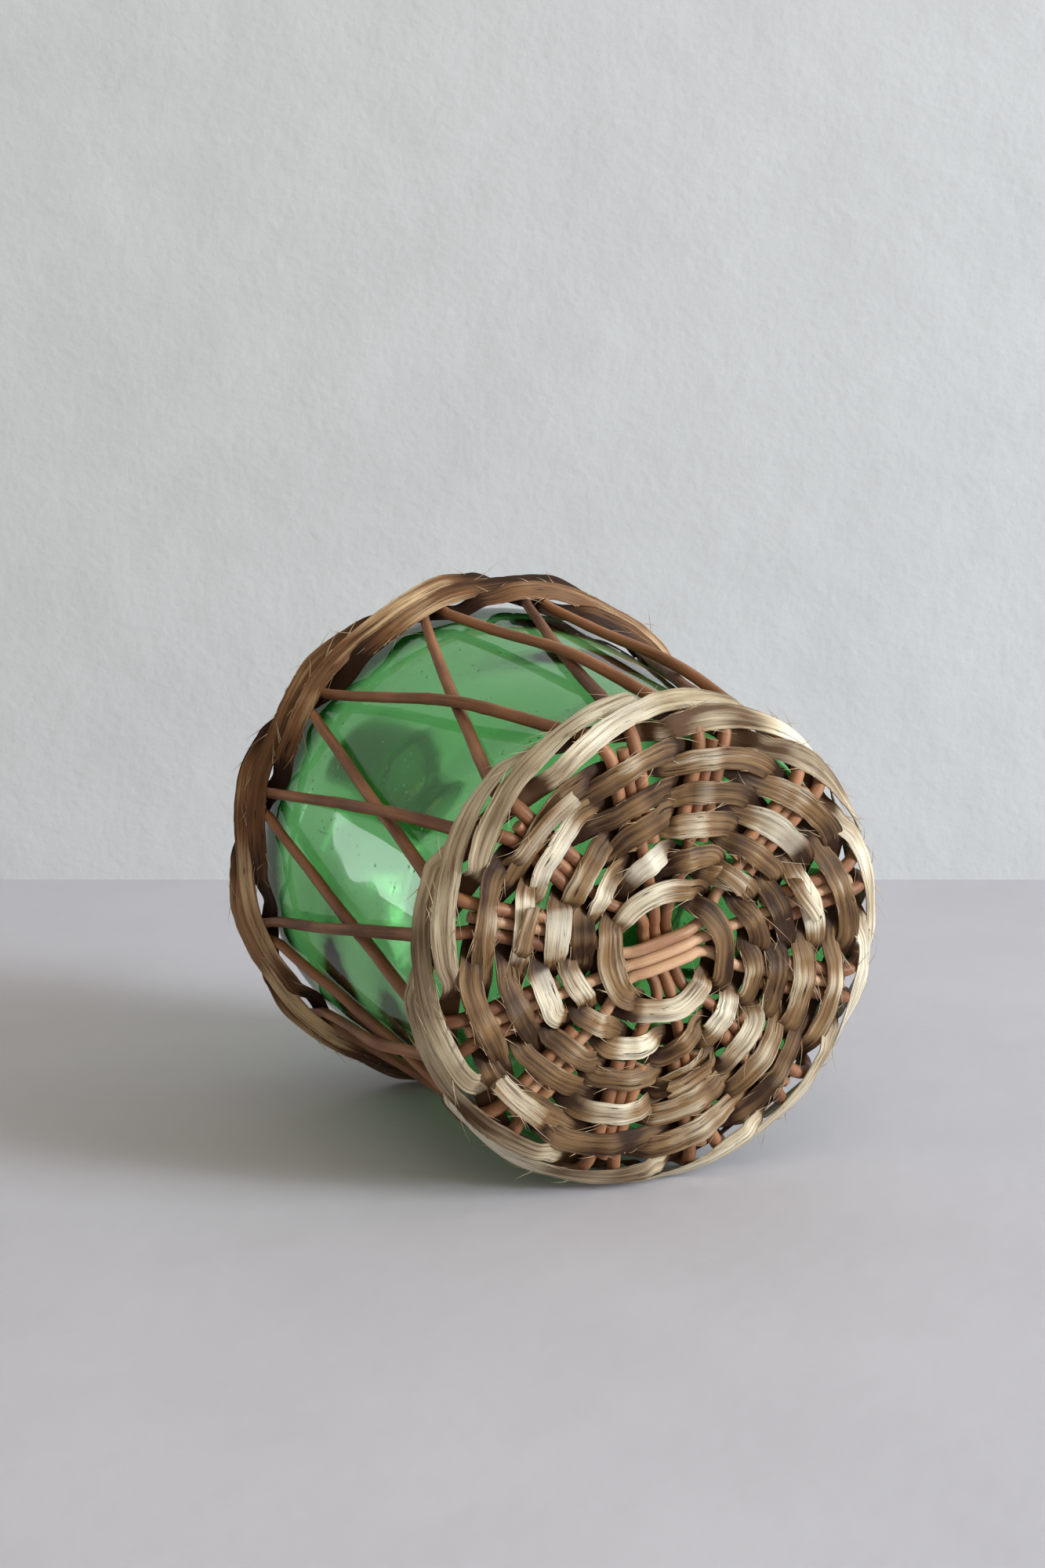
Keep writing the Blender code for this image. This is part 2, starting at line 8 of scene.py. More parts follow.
import json
import logging
import math
from dataclasses import dataclass, field
from enum import Enum
from typing import Callable, Sequence

import bpy
import numpy as np
from mathutils import Matrix, Vector

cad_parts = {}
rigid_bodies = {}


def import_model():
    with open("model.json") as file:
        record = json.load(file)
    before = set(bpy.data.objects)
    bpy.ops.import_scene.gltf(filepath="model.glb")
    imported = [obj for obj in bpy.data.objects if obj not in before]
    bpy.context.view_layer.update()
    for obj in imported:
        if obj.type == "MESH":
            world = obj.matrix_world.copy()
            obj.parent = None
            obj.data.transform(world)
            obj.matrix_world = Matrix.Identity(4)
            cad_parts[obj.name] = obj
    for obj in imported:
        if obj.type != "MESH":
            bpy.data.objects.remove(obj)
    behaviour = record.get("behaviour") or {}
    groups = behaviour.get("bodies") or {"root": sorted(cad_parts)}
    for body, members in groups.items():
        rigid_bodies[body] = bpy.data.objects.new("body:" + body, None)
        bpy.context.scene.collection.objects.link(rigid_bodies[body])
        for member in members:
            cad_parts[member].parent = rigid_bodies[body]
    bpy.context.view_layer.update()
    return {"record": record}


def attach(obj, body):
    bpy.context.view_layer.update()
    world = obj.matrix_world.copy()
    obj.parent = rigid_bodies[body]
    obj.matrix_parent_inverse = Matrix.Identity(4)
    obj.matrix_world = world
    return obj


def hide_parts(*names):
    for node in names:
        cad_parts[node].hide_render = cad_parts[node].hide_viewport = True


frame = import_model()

log = logging.getLogger("demijohn")

Colour = tuple[float, float, float]
Points = np.ndarray
Piece = bpy.types.Object
Material = bpy.types.Material
Mesh = bpy.types.Mesh
Socket = bpy.types.NodeSocket

# Ending of a piece's name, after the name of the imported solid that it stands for
WORN = "_worn"
# Height below which the basket is pressed on the floor by its weight
PRESSED_DEPTH = 0.0014
# Smallest length that anything is divided by
TINY = 1e-9
# Range that holds most of a noise's values
MOST = (0.3, 0.7)


class Body(str, Enum):
    """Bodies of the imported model."""

    DEMIJOHN = "demijohn"
    CORK = "cork"


class Slot(str, Enum):
    """Material slots of the record."""

    GLASS = "green_glass"
    CORK = "cork"
    BROWN = "brown_willow"
    PEELED = "peeled_willow"
    STRAW = "straw_strip"
    RUSSET = "russet_strip"


# Small sums on lengths and angles

def blend(start: float, end: float, share: float) -> float:
    """Value part of the way from start to end."""
    return start + (end - start) * share


def smooth(share: Points) -> Points:
    """Smooth rise from 0 to 1 over the same stretch."""
    share = np.clip(share, 0.0, 1.0)
    return share * share * (3.0 - 2.0 * share)


def unit(angle: Points) -> Points:
    """Directions in the plane of the base at angles in degrees."""
    turn = np.radians(angle)
    return np.stack([np.cos(turn), np.sin(turn), np.zeros_like(turn)], axis=-1)


def around(angle: Points, radius: Points, height: Points) -> Points:
    """Points round the axis.

    Args:
        angle: Their angles.
        radius: Their distances from the axis.
        height: Their heights.

    Returns:
        One point for each angle.
    """
    angle, radius, height = np.broadcast_arrays(np.asarray(angle, float), radius, height)
    points = unit(angle) * radius[..., None]
    points[..., 2] += height
    return points


def normalised(vectors: Points) -> Points:
    """Vectors of length 1."""
    return vectors / np.maximum(np.linalg.norm(vectors, axis=-1, keepdims=True), TINY)


def hermite(start: Points, leave: Points, end: Points, arrive: Points, share: Points) -> Points:
    """Places on a cubic curve that has a set place and slope at each end.

    Args:
        start: Place at the start.
        leave: Slope at the start, over the whole stretch.
        end: Place at the end.
        arrive: Slope at the end, over the whole stretch.
        share: How much of the stretch is passed, from 0 to 1.

    Returns:
        One place for each share.
    """
    square, cube = share ** 2, share ** 3
    return (start * (2 * cube - 3 * square + 1) + leave * (cube - 2 * square + share)
            + end * (3 * square - 2 * cube) + arrive * (cube - square))


def eased(at: Points, knots: Sequence[float], values: Sequence[float]) -> Points:
    """Values between knots, with a smooth change from each knot to the next.

    Args:
        at: Where the values are wanted.
        knots: Rising places that have a set value.
        values: The value at each knot.

    Returns:
        One value for each place.
    """
    knots, values = np.asarray(knots, float), np.asarray(values, float)
    index = np.clip(np.searchsorted(knots, at, side="right") - 1, 0, len(knots) - 2)
    share = smooth((at - knots[index]) / np.maximum(knots[index + 1] - knots[index], TINY))
    return values[index] + (values[index + 1] - values[index]) * share


def flowing(at: Points, knots: Sequence[float], values: Sequence[float]) -> Points:
    """Values between knots on a curve that keeps its slope through each knot.

    Args:
        at: Where the values are wanted.
        knots: Rising places that have a set value.
        values: The value at each knot.

    Returns:
        One value for each place.
    """
    knots, values = np.asarray(knots, float), np.asarray(values, float)
    slopes = np.gradient(values, knots)
    index = np.clip(np.searchsorted(knots, at, side="right") - 1, 0, len(knots) - 2)
    width = knots[index + 1] - knots[index]
    share = np.clip((at - knots[index]) / width, 0.0, 1.0)
    return hermite(values[index], slopes[index] * width, values[index + 1], slopes[index + 1] * width, share)


def wander(rng: np.random.Generator, along: Points, spacing: float, size: float) -> Points:
    """Smooth random drift along a length, about 0.

    Args:
        rng: Seeded source of numbers.
        along: Distances at which the drift is wanted.
        spacing: Distance between one turn of the drift and the next.
        size: How far it usually strays.

    Returns:
        One drift for each distance.
    """
    steps = (along - along.min()) / spacing
    knots = rng.normal(0.0, size, int(steps.max()) + 2)
    low = steps.astype(int)
    share = smooth(steps - low)
    return knots[low] * (1.0 - share) + knots[low + 1] * share


@dataclass(frozen=True)
class Resting:
    """How the upright drawing is laid on the floor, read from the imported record."""

    turn: Points
    shift: Points

    @classmethod
    def from_record(cls, record: dict, mouth: Points) -> "Resting":
        """Find the turn from the cork's axis and the shift from the flat ring of the mouth.

        Args:
            record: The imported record.
            mouth: The mouth mount's point in the upright drawing.

        Returns:
            The turn and shift that lay the drawing down.
        """
        axis = record["behaviour"]["joints"][0]["axis"]
        tip = -math.acos(axis[2])
        cosine, sine = math.cos(tip), math.sin(tip)
        turn = np.array([[1.0, 0.0, 0.0], [0.0, cosine, -sine], [0.0, sine, cosine]])
        mount = next(item for item in record["mounts"] if item["name"] == "bottle_mouth")
        return cls(turn, np.array(mount["pos_m"]) - turn @ mouth)

    def lay(self, points: Points) -> Points:
        """Points of the upright drawing where they lie on the floor."""
        return points @ self.turn.T + self.shift

    def settle(self, points: Points) -> Points:
        """Lay points down, with those near the floor pressed flat on it by the weight.

        Args:
            points: Points of the upright drawing.

        Returns:
            The points where they lie.
        """
        laid = self.lay(points)
        height = laid[..., 2]
        pressed = np.maximum((height + PRESSED_DEPTH) / 2, 0.0)
        laid[..., 2] = np.where(height < PRESSED_DEPTH, pressed, height)
        return laid


@dataclass(frozen=True)
class Basketry:
    """The basket's driving sizes and the line that its stakes follow."""

    clearance: float = 0.0003
    groups: tuple = (15.0, 46.0, 75.0, 105.0, 137.0, 164.0, 195.0, 221.0, 255.0, 281.0, 314.0, 345.0)
    rod_radius: float = 0.00225
    strip_thickness: float = 0.0012
    glass_radius: float = 0.0975
    side_taper: float = 0.0109
    heel_radius: float = 0.0150
    shoulder_height: float = 0.1660
    wale_width: float = 0.0074
    rim_start: float = 0.0018
    rim_hollow: float = 0.0078
    band_drop: float = 0.0090
    band_flare: float = 0.0065
    stand_off_run: float = 0.0480
    slath_angle: float = -15.0
    feet: tuple = (3.2, -8.0)
    heads: tuple = (-5.0, 1.0)

    @property
    def rod_spacing(self) -> float:
        """Distance between the middles of rods that lie side by side."""
        return 2 * self.rod_radius + self.clearance

    @property
    def lift(self) -> float:
        """Distance from the middle of a rod to the middle of a strip on it."""
        return self.rod_radius + self.clearance + self.strip_thickness / 2

    @property
    def rod_level(self) -> float:
        """Height of the middles of the rods in the base."""
        return self.lift + self.strip_thickness / 2

    @property
    def glass_underside(self) -> float:
        """Height at which the glass stands in the basket."""
        return self.rod_level + self.lift + self.strip_thickness / 2 + self.clearance

    @property
    def wale_reach(self) -> float:
        """Length along the stakes that three strips cover side by side."""
        return 3 * (self.wale_width + self.clearance)

    @property
    def bend_radius(self) -> float:
        """Radius of the stakes' bend at the rim."""
        return self.rim_hollow + self.lift

    @property
    def bend_length(self) -> float:
        """Length of a stake that is bent at the rim."""
        return self.bend_radius * math.pi / 2

    @property
    def rim_exit(self) -> float:
        """Height at which the bend ends."""
        return self.rod_level + self.bend_radius

    @property
    def rim_top(self) -> float:
        """Height of the upper edge of the rim strips."""
        return self.rim_exit + self.rim_start + self.wale_reach - self.bend_length

    @property
    def band_foot(self) -> float:
        """Height of the lower edge of the shoulder band."""
        return self.shoulder_height - self.band_drop

    @property
    def band_top(self) -> float:
        """Height of the upper edge of the shoulder band."""
        return self.band_foot + self.wale_reach

    def glass_side(self, height: Points) -> Points:
        """Outer radius of the glass's tapering side, also read on below the heel.

        Args:
            height: Height above the underside of the basket.

        Returns:
            One radius for each height.
        """
        heel_top = self.glass_underside + self.heel_radius
        drawn_in = self.side_taper * (self.shoulder_height - height) / (self.shoulder_height - heel_top)
        return self.glass_radius - drawn_in

    def stake_radius(self, height: Points) -> Points:
        """Distance of a stake's middle from the axis.

        Args:
            height: Height above the underside of the basket.

        Returns:
            One distance for each height.
        """
        height = np.asarray(height, float)
        room = self.strip_thickness + 2 * self.clearance
        at_rim = 1.0 - smooth((height - self.rim_top) / self.stand_off_run)
        at_band = smooth((height - self.band_foot + self.stand_off_run) / self.stand_off_run)
        flare = self.band_flare * np.maximum(0.0, height - self.band_foot) / self.wale_reach
        return self.glass_side(height) + self.clearance + self.rod_radius + room * (at_rim + at_band) + flare

    @property
    def bend_start(self) -> float:
        """Distance from the axis at which the stakes start to bend up."""
        return float(self.stake_radius(self.rim_exit)) - self.bend_radius

    def rim_line(self, distance: Points) -> tuple[Points, Points, Points, Points]:
        """Radius, height and outward direction of the stakes' line round the rim.

        Args:
            distance: Distance along the line from the start of the bend.

        Returns:
            Radius, height, and the radial and upward parts of the outward direction.
        """
        distance = np.asarray(distance, float)
        turn = np.clip(distance / self.bend_radius, 0.0, math.pi / 2)
        lean = self.lean(self.rim_exit, self.rim_top)
        past = np.maximum(0.0, distance - self.bend_length)
        height = self.rim_exit + past * math.cos(lean)
        bent = distance < self.bend_length
        radius = np.where(bent, self.bend_start + self.bend_radius * np.sin(turn), self.stake_radius(height))
        height = np.where(bent, self.rim_exit - self.bend_radius * np.cos(turn), height)
        share = smooth(past / self.bend_radius)
        out = np.sin(turn) * (1 - share) + math.cos(lean) * share
        up = -np.cos(turn) * (1 - share) - math.sin(lean) * share
        return radius, height, out, up

    def band_line(self, distance: Points) -> tuple[Points, Points, Points, Points]:
        """Radius, height and outward direction of the stakes' line in the band.

        Args:
            distance: Distance along the line from the band's lower edge.

        Returns:
            Radius, height, and the radial and upward parts of the outward direction.
        """
        distance = np.asarray(distance, float)
        lean = self.lean(self.band_foot, self.band_top)
        height = self.band_foot + distance * math.cos(lean)
        out, up = np.full_like(distance, math.cos(lean)), np.full_like(distance, -math.sin(lean))
        return self.stake_radius(height), height, out, up

    def lean(self, low: float, high: float) -> float:
        """Angle in radians by which the stakes lean out between two heights."""
        return math.atan2(float(self.stake_radius(high) - self.stake_radius(low)), high - low)

    def group(self, index: int) -> float:
        """Angle of a group, counted on past a full turn."""
        count = len(self.groups)
        return self.groups[index % count] + 360.0 * (index // count)


BASKETRY = Basketry()


# Workbench: how a mesh is made and finished

class Bench:
    """Operators that model one piece at a time."""

    SEAM_MERGE = 1e-7
    SMOOTH_ANGLE = math.radians(50.0)

    @staticmethod
    def clear_selection() -> None:
        """Leave nothing selected, so that an operator acts on the new piece alone."""
        for item in bpy.context.view_layer.objects:
            item.select_set(False)

    @staticmethod
    def corners(mesh: Mesh) -> Points:
        """Read the places of a mesh's corners.

        Args:
            mesh: The mesh.

        Returns:
            One point for each corner.
        """
        places = np.empty(len(mesh.vertices) * 3)
        mesh.vertices.foreach_get("co", places)
        return places.reshape(-1, 3)

    @classmethod
    def lay_tube(cls, name: str, rings: Points, girth: float, tone: Points) -> Piece:
        """Grid rolled into a closed tube, such as a rod or a flat strip, with its ends filled.

        Args:
            name: The piece's name.
            rings: Corner points of every ring, in the upright drawing, as (ring, corner, xyz).
            girth: Distance round a ring, for the pattern's scale.
            tone: One shade value for each ring.

        Returns:
            The new object. Its faces past the sides are its two ends.
        """
        count, corners, _ = rings.shape
        length = float(np.linalg.norm(np.diff(rings.mean(axis=1), axis=0), axis=1).sum())
        cls.clear_selection()
        bpy.ops.mesh.primitive_grid_add(x_subdivisions=count - 1, y_subdivisions=corners, size=1.0)
        piece = bpy.context.object
        piece.name = name
        mesh = piece.data
        mesh.name = name
        flat = cls.corners(mesh)
        row = np.rint((flat[:, 0] + 0.5) * (count - 1)).astype(int)
        column = np.rint((flat[:, 1] + 0.5) * corners).astype(int) % corners
        mesh.vertices.foreach_set("co", RESTING.settle(rings[row, column]).ravel())
        shade = mesh.attributes.new("tone", "FLOAT", "POINT")
        shade.data.foreach_set("value", tone[row].astype(np.float32))
        layer = mesh.uv_layers.active
        places = np.empty(len(layer.data) * 2)
        layer.data.foreach_get("uv", places)
        places = places.reshape(-1, 2) * (length, girth)
        layer.data.foreach_set("uv", places.ravel())
        cls.close_up(piece)
        return piece

    @classmethod
    def close_up(cls, piece: Piece) -> None:
        """Join the seam, fill the open ends, point the faces outwards and shade them smooth.

        Args:
            piece: The rolled grid.
        """
        bpy.ops.object.mode_set(mode="EDIT")
        bpy.ops.mesh.select_all(action="SELECT")
        bpy.ops.mesh.remove_doubles(threshold=cls.SEAM_MERGE)
        bpy.ops.mesh.select_all(action="SELECT")
        bpy.ops.mesh.fill_holes(sides=0)
        bpy.ops.mesh.select_all(action="SELECT")
        bpy.ops.mesh.normals_make_consistent(inside=False)
        bpy.ops.object.mode_set(mode="OBJECT")
        bpy.ops.object.shade_smooth_by_angle(angle=cls.SMOOTH_ANGLE)

    @staticmethod
    def paint_ends(piece: Piece, sides: int, finish: Material) -> None:
        """Give the faces past the sides, which are the filled ends, a finish of their own.

        Args:
            piece: The closed tube.
            sides: How many faces its sides have.
            finish: The finish of its ends.
        """
        piece.data.materials.append(finish)
        for face in piece.data.polygons[sides:]:
            face.material_index = len(piece.data.materials) - 1


def hand_over(piece: Piece, body: Body, slot: Slot, *nodes: str) -> None:
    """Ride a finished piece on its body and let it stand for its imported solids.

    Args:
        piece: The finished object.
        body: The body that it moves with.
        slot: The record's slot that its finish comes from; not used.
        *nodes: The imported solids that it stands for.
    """
    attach(piece, body.value)
    if nodes:
        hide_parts(*nodes)
    log.info("%s rides on %s", piece.name, body.value)


# Finishes

@dataclass(frozen=True)
class Grain:
    """Noise with a scale of its own along each axis."""

    stretch: tuple
    detail: float
    roughness: float = 0.55


class Sheet:
    """A material's node tree, filled step by step."""

    # Numbers of the Mix node's colour sockets, whose names its other sockets share
    MIX_FACTOR, MIX_FIRST, MIX_SECOND, MIX_RESULT = 0, 6, 7, 2

    def __init__(self, name: str) -> None:
        """Start from a Principled shader."""
        self.material = bpy.data.materials.new(name)
        self.material.use_nodes = True
        self.tree = self.material.node_tree
        self.shader = self.tree.nodes["Principled BSDF"]
        self.output = self.tree.nodes["Material Output"]

    def node(self, kind: str, inputs: dict | None = None, **settings: object) -> bpy.types.ShaderNode:
        """Add a node, set its settings and fill or link its inputs.

        Args:
            kind: Blender's name of the node type, without the ShaderNode prefix.
            inputs: Values or output sockets by input name or number.
            **settings: The node's own properties.

        Returns:
            The new node.
        """
        item = self.tree.nodes.new("ShaderNode" + kind)
        for key, value in settings.items():
            setattr(item, key, value)
        for key, value in (inputs or {}).items():
            self.feed(item.inputs[key], value)
        return item

    def feed(self, socket: Socket, value: object) -> None:
        """Link an output socket to an input, or set the input's own value.

        Args:
            socket: The input.
            value: An output socket, a number, a colour or a vector.
        """
        if isinstance(value, bpy.types.NodeSocket):
            self.tree.links.new(value, socket)
        elif isinstance(value, tuple) and len(value) == 3 and socket.type == "RGBA":
            socket.default_value = (*value, 1.0)
        else:
            socket.default_value = value

    def noise(self, vector: Socket, scale: float, detail: float = 3.0, roughness: float = 0.55) -> Socket:
        """Factor output of a noise texture."""
        inputs = {"Vector": vector, "Scale": scale, "Detail": detail, "Roughness": roughness}
        return self.node("TexNoise", inputs).outputs["Fac"]

    def grain(self, vector: Socket, grain: Grain, offset: tuple = (0.0, 0.0, 0.0)) -> Socket:
        """Factor output of a noise whose coordinates are stretched along each axis."""
        spread = self.node("Mapping", {"Vector": vector, "Scale": grain.stretch, "Location": offset})
        return self.noise(spread.outputs["Vector"], 1.0, grain.detail, grain.roughness)

    def ramp(self, factor: Socket, stops: Sequence[tuple[float, Colour]]) -> Socket:
        """Colour output of a ramp.

        Args:
            factor: What the ramp is read by.
            stops: Places on the ramp, each with its colour.

        Returns:
            The colour's socket.
        """
        item = self.node("ValToRGB", {"Fac": factor})
        bar = item.color_ramp
        while len(bar.elements) < len(stops):
            bar.elements.new(0.5)
        for element, (place, colour) in zip(bar.elements, stops):
            element.position = place
            element.color = (*colour, 1.0)
        return item.outputs["Color"]

    def mix(self, factor: object, first: object, second: object, mode: str = "MIX") -> Socket:
        """Mix two colours.

        Args:
            factor: Share of the second colour.
            first: Colour at 0.
            second: Colour at 1.
            mode: How the second colour acts on the first.

        Returns:
            The colour's socket.
        """
        item = self.node("Mix", data_type="RGBA", blend_type=mode)
        for index, value in ((self.MIX_FACTOR, factor), (self.MIX_FIRST, first), (self.MIX_SECOND, second)):
            self.feed(item.inputs[index], value)
        return item.outputs[self.MIX_RESULT]

    def sum(self, first: object, second: object, operation: str = "ADD") -> Socket:
        """Result of a sum on two numbers."""
        return self.node("Math", {0: first, 1: second}, operation=operation).outputs[0]

    def spread(self, value: Socket, low: float, high: float, to_low: float = 0.0,
               to_high: float = 1.0) -> Socket:
        """Value moved from one range to another, and kept in it."""
        inputs = {"Value": value, "From Min": low, "From Max": high, "To Min": to_low, "To Max": to_high}
        return self.node("MapRange", inputs).outputs["Result"]

    def bump(self, height: Socket, distance: float, strength: float = 1.0,
             under: Socket | None = None) -> Socket:
        """Make a bump.

        Args:
            height: How high each place is, from 0 to 1.
            distance: Depth of the bump.
            strength: How much of it shows.
            under: Another bump that it lies on.

        Returns:
            The normal's socket.
        """
        inputs = {"Height": height, "Distance": distance, "Strength": strength}
        if under is not None:
            inputs["Normal"] = under
        return self.node("Bump", inputs).outputs["Normal"]

    def set(self, **values: object) -> None:
        """Fill the shader's inputs, named with _ for each space."""
        for key, value in values.items():
            self.feed(self.shader.inputs[key.replace("_", " ")], value)


@dataclass(frozen=True)
class StripFinish:
    """Flat split strip: fibres along it, satin on the ridges and darker, painted shade where it tucks under.

    A grain's scales run along the strip and across it. A tuple of two or four numbers is the range of a noise
    or shade over which something changes, and what it changes from and to where that isn't 0 and 1.
    """

    name: str
    pale: Colour
    middle: Colour
    deep: Colour
    weathered: Colour
    roughness: float = 0.40
    shift: tuple = (0.731, 0.173)
    fibre_grain: Grain = Grain((30.0, 1300.0, 1.0), 5.0, 0.7)
    streak_grain: Grain = Grain((10.0, 520.0, 1.0), 3.0, 0.6)
    patch_grain: Grain = Grain((24.0, 60.0, 1.0), 2.0, 0.5)
    split_grain: Grain = Grain((55.0, 900.0, 1.0), 5.0, 0.65)
    worn_grain: Grain = Grain((17.0, 40.0, 1.0), 2.0, 0.5)
    patches: tuple = (*MOST, -0.30, 0.30)
    streaks: tuple = (*MOST, -0.20, 0.20)
    stops: tuple = (0.05, 0.5, 0.95)
    dark_fibres: tuple = (0.36, 0.52, 0.8, 0.0)
    bleached_patches: tuple = (0.55, 0.68, 0.0, 0.7)
    bleached_shades: tuple = (0.3, 0.6)
    cracks: tuple = (0.63, 0.69)
    crack_shade: float = 0.25
    rough_fibres: float = 0.12
    smooth_fibres: float = -0.08
    matt_shades: tuple = (0.1, 0.65, 0.34, 0.0)
    streak_height: float = 1.4
    depth: float = 0.00024

    def make(self, seed: int) -> Material:
        """The finish for one strip, with a pattern of its own.

        Args:
            seed: Number of the strip, which moves the pattern along it.

        Returns:
            The material.
        """
        sheet = Sheet(f"{self.name}_{seed:02d}")
        lengthwise = sheet.node("UVMap").outputs["UV"]
        along, across = seed * self.shift[0], seed * self.shift[1]
        fibres, streaks, patches, splits = (
            sheet.grain(lengthwise, grain, (along, across, 0.0))
            for grain in (self.fibre_grain, self.streak_grain, self.patch_grain, self.split_grain))
        tone = sheet.node("Attribute", attribute_name="tone").outputs["Fac"]
        # The tone attribute brings in the painted shade of the tucks along with each strip's own random tone
        shade = sheet.sum(sheet.spread(patches, *self.patches), tone)
        shade = sheet.sum(shade, sheet.spread(streaks, *self.streaks))
        colour = sheet.ramp(shade, tuple(zip(self.stops, (self.deep, self.middle, self.pale))))
        colour = sheet.mix(sheet.spread(fibres, *self.dark_fibres), colour, self.deep)
        worn = sheet.grain(lengthwise, self.worn_grain, (across, along, 0.0))
        worn = sheet.spread(worn, *self.bleached_patches)
        bleached = sheet.sum(worn, sheet.spread(tone, *self.bleached_shades), "MULTIPLY")
        colour = sheet.mix(bleached, colour, self.weathered)
        crack = sheet.spread(splits, *self.cracks)
        colour = sheet.mix(crack, colour, tuple(self.crack_shade * part for part in self.deep))
        rough, fine = self.roughness + self.rough_fibres, self.roughness + self.smooth_fibres
        sheen = sheet.sum(sheet.spread(fibres, *MOST, rough, fine), sheet.spread(tone, *self.matt_shades))
        ridges = sheet.sum(fibres, sheet.sum(streaks, self.streak_height, "MULTIPLY"))
        normal = sheet.bump(sheet.sum(ridges, crack, "SUBTRACT"), self.depth)
        sheet.set(Base_Color=colour, Roughness=sheen, Specular_IOR_Level=0.22, Normal=normal)
        return sheet.material


@dataclass(frozen=True)
class WillowFinish:
    """Round willow: soft streaks, darker knots and a dry half-matt skin, with ranges as in StripFinish."""

    name: str
    light: Colour
    dark: Colour
    knot: Colour
    roughness: float = 0.5
    shift: tuple = (0.517, 0.291)
    streak_grain: Grain = Grain((22.0, 420.0, 1.0), 4.0, 0.6)
    patch_grain: Grain = Grain((38.0, 70.0, 1.0), 2.0, 0.5)
    pore_grain: Grain = Grain((320.0, 900.0, 1.0), 3.0, 0.6)
    shades: tuple = (*MOST, -0.3, 0.3)
    pores: tuple = (0.62, 0.72, 0.0, 0.6)
    pore_height: float = 0.5
    rough_streaks: float = 0.1
    smooth_streaks: float = -0.08
    depth: float = 0.00018

    def make(self, seed: int) -> Material:
        """The finish for one rod, with a pattern of its own.

        Args:
            seed: Number of the rod, which moves the pattern along it.

        Returns:
            The material.
        """
        sheet = Sheet(f"{self.name}_{seed:02d}")
        lengthwise = sheet.node("UVMap").outputs["UV"]
        shift = (seed * self.shift[0], seed * self.shift[1], 0.0)
        streaks, patches, pores = (sheet.grain(lengthwise, grain, shift)
                                   for grain in (self.streak_grain, self.patch_grain, self.pore_grain))
        tone = sheet.node("Attribute", attribute_name="tone").outputs["Fac"]
        shade = sheet.sum(sheet.spread(streaks, *self.shades), sheet.spread(patches, *self.shades))
        colour = sheet.mix(sheet.spread(sheet.sum(shade, tone), 0.0, 1.0), self.dark, self.light)
        colour = sheet.mix(sheet.spread(pores, *self.pores), colour, self.knot)
        height = sheet.sum(streaks, sheet.sum(pores, self.pore_height, "MULTIPLY"))
        rough, fine = self.roughness + self.rough_streaks, self.roughness + self.smooth_streaks
        sheet.set(Base_Color=colour, Roughness=sheet.spread(streaks, *MOST, rough, fine),
                  Specular_IOR_Level=0.25, Normal=sheet.bump(height, self.depth, 0.7))
        return sheet.material


@dataclass(frozen=True)
class CutWoodFinish:
    """Cut end of a rod: pale wood with fine pores and a darker stain."""

    pale: Colour = (0.50, 0.33, 0.19)
    dark: Colour = (0.24, 0.12, 0.06)
    pore_scale: float = 1500.0
    pores: tuple = (0.45, 0.7)
    stain_scale: float = 220.0
    stains: tuple = (0.4, 0.7, 0.0, 0.7)
    depth: float = 0.0002

    def make(self) -> Material:
        """The finish for the ends of the rods.

        Returns:
            The material.
        """
        sheet = Sheet("cut_willow_end")
        place = sheet.node("TexCoord").outputs["Object"]
        pores = sheet.noise(place, self.pore_scale, 2.0)
        stain = sheet.noise(place, self.stain_scale, 2.0)
        colour = sheet.mix(sheet.spread(pores, *self.pores), self.pale, self.dark)
        colour = sheet.mix(sheet.spread(stain, *self.stains), colour, self.dark)
        sheet.set(Base_Color=colour, Roughness=0.75, Normal=sheet.bump(pores, self.depth, 0.6))
        return sheet.material


@dataclass(frozen=True)
class FibreFinish:
    """Loose fibres: dry straw, paler and darker in patches."""

    light: Colour = (0.60, 0.47, 0.30)
    dark: Colour = (0.30, 0.19, 0.10)
    patch_scale: float = 120.0
    patches: tuple = (0.35, 0.65)

    def make(self) -> Material:
        """The finish for the fibres.

        Returns:
            The material.
        """
        sheet = Sheet("fibre_straw")
        patches = sheet.noise(sheet.node("TexCoord").outputs["Object"], self.patch_scale)
        colour = sheet.mix(sheet.spread(patches, *self.patches), self.dark, self.light)
        sheet.set(Base_Color=colour, Roughness=0.5)
        return sheet.material


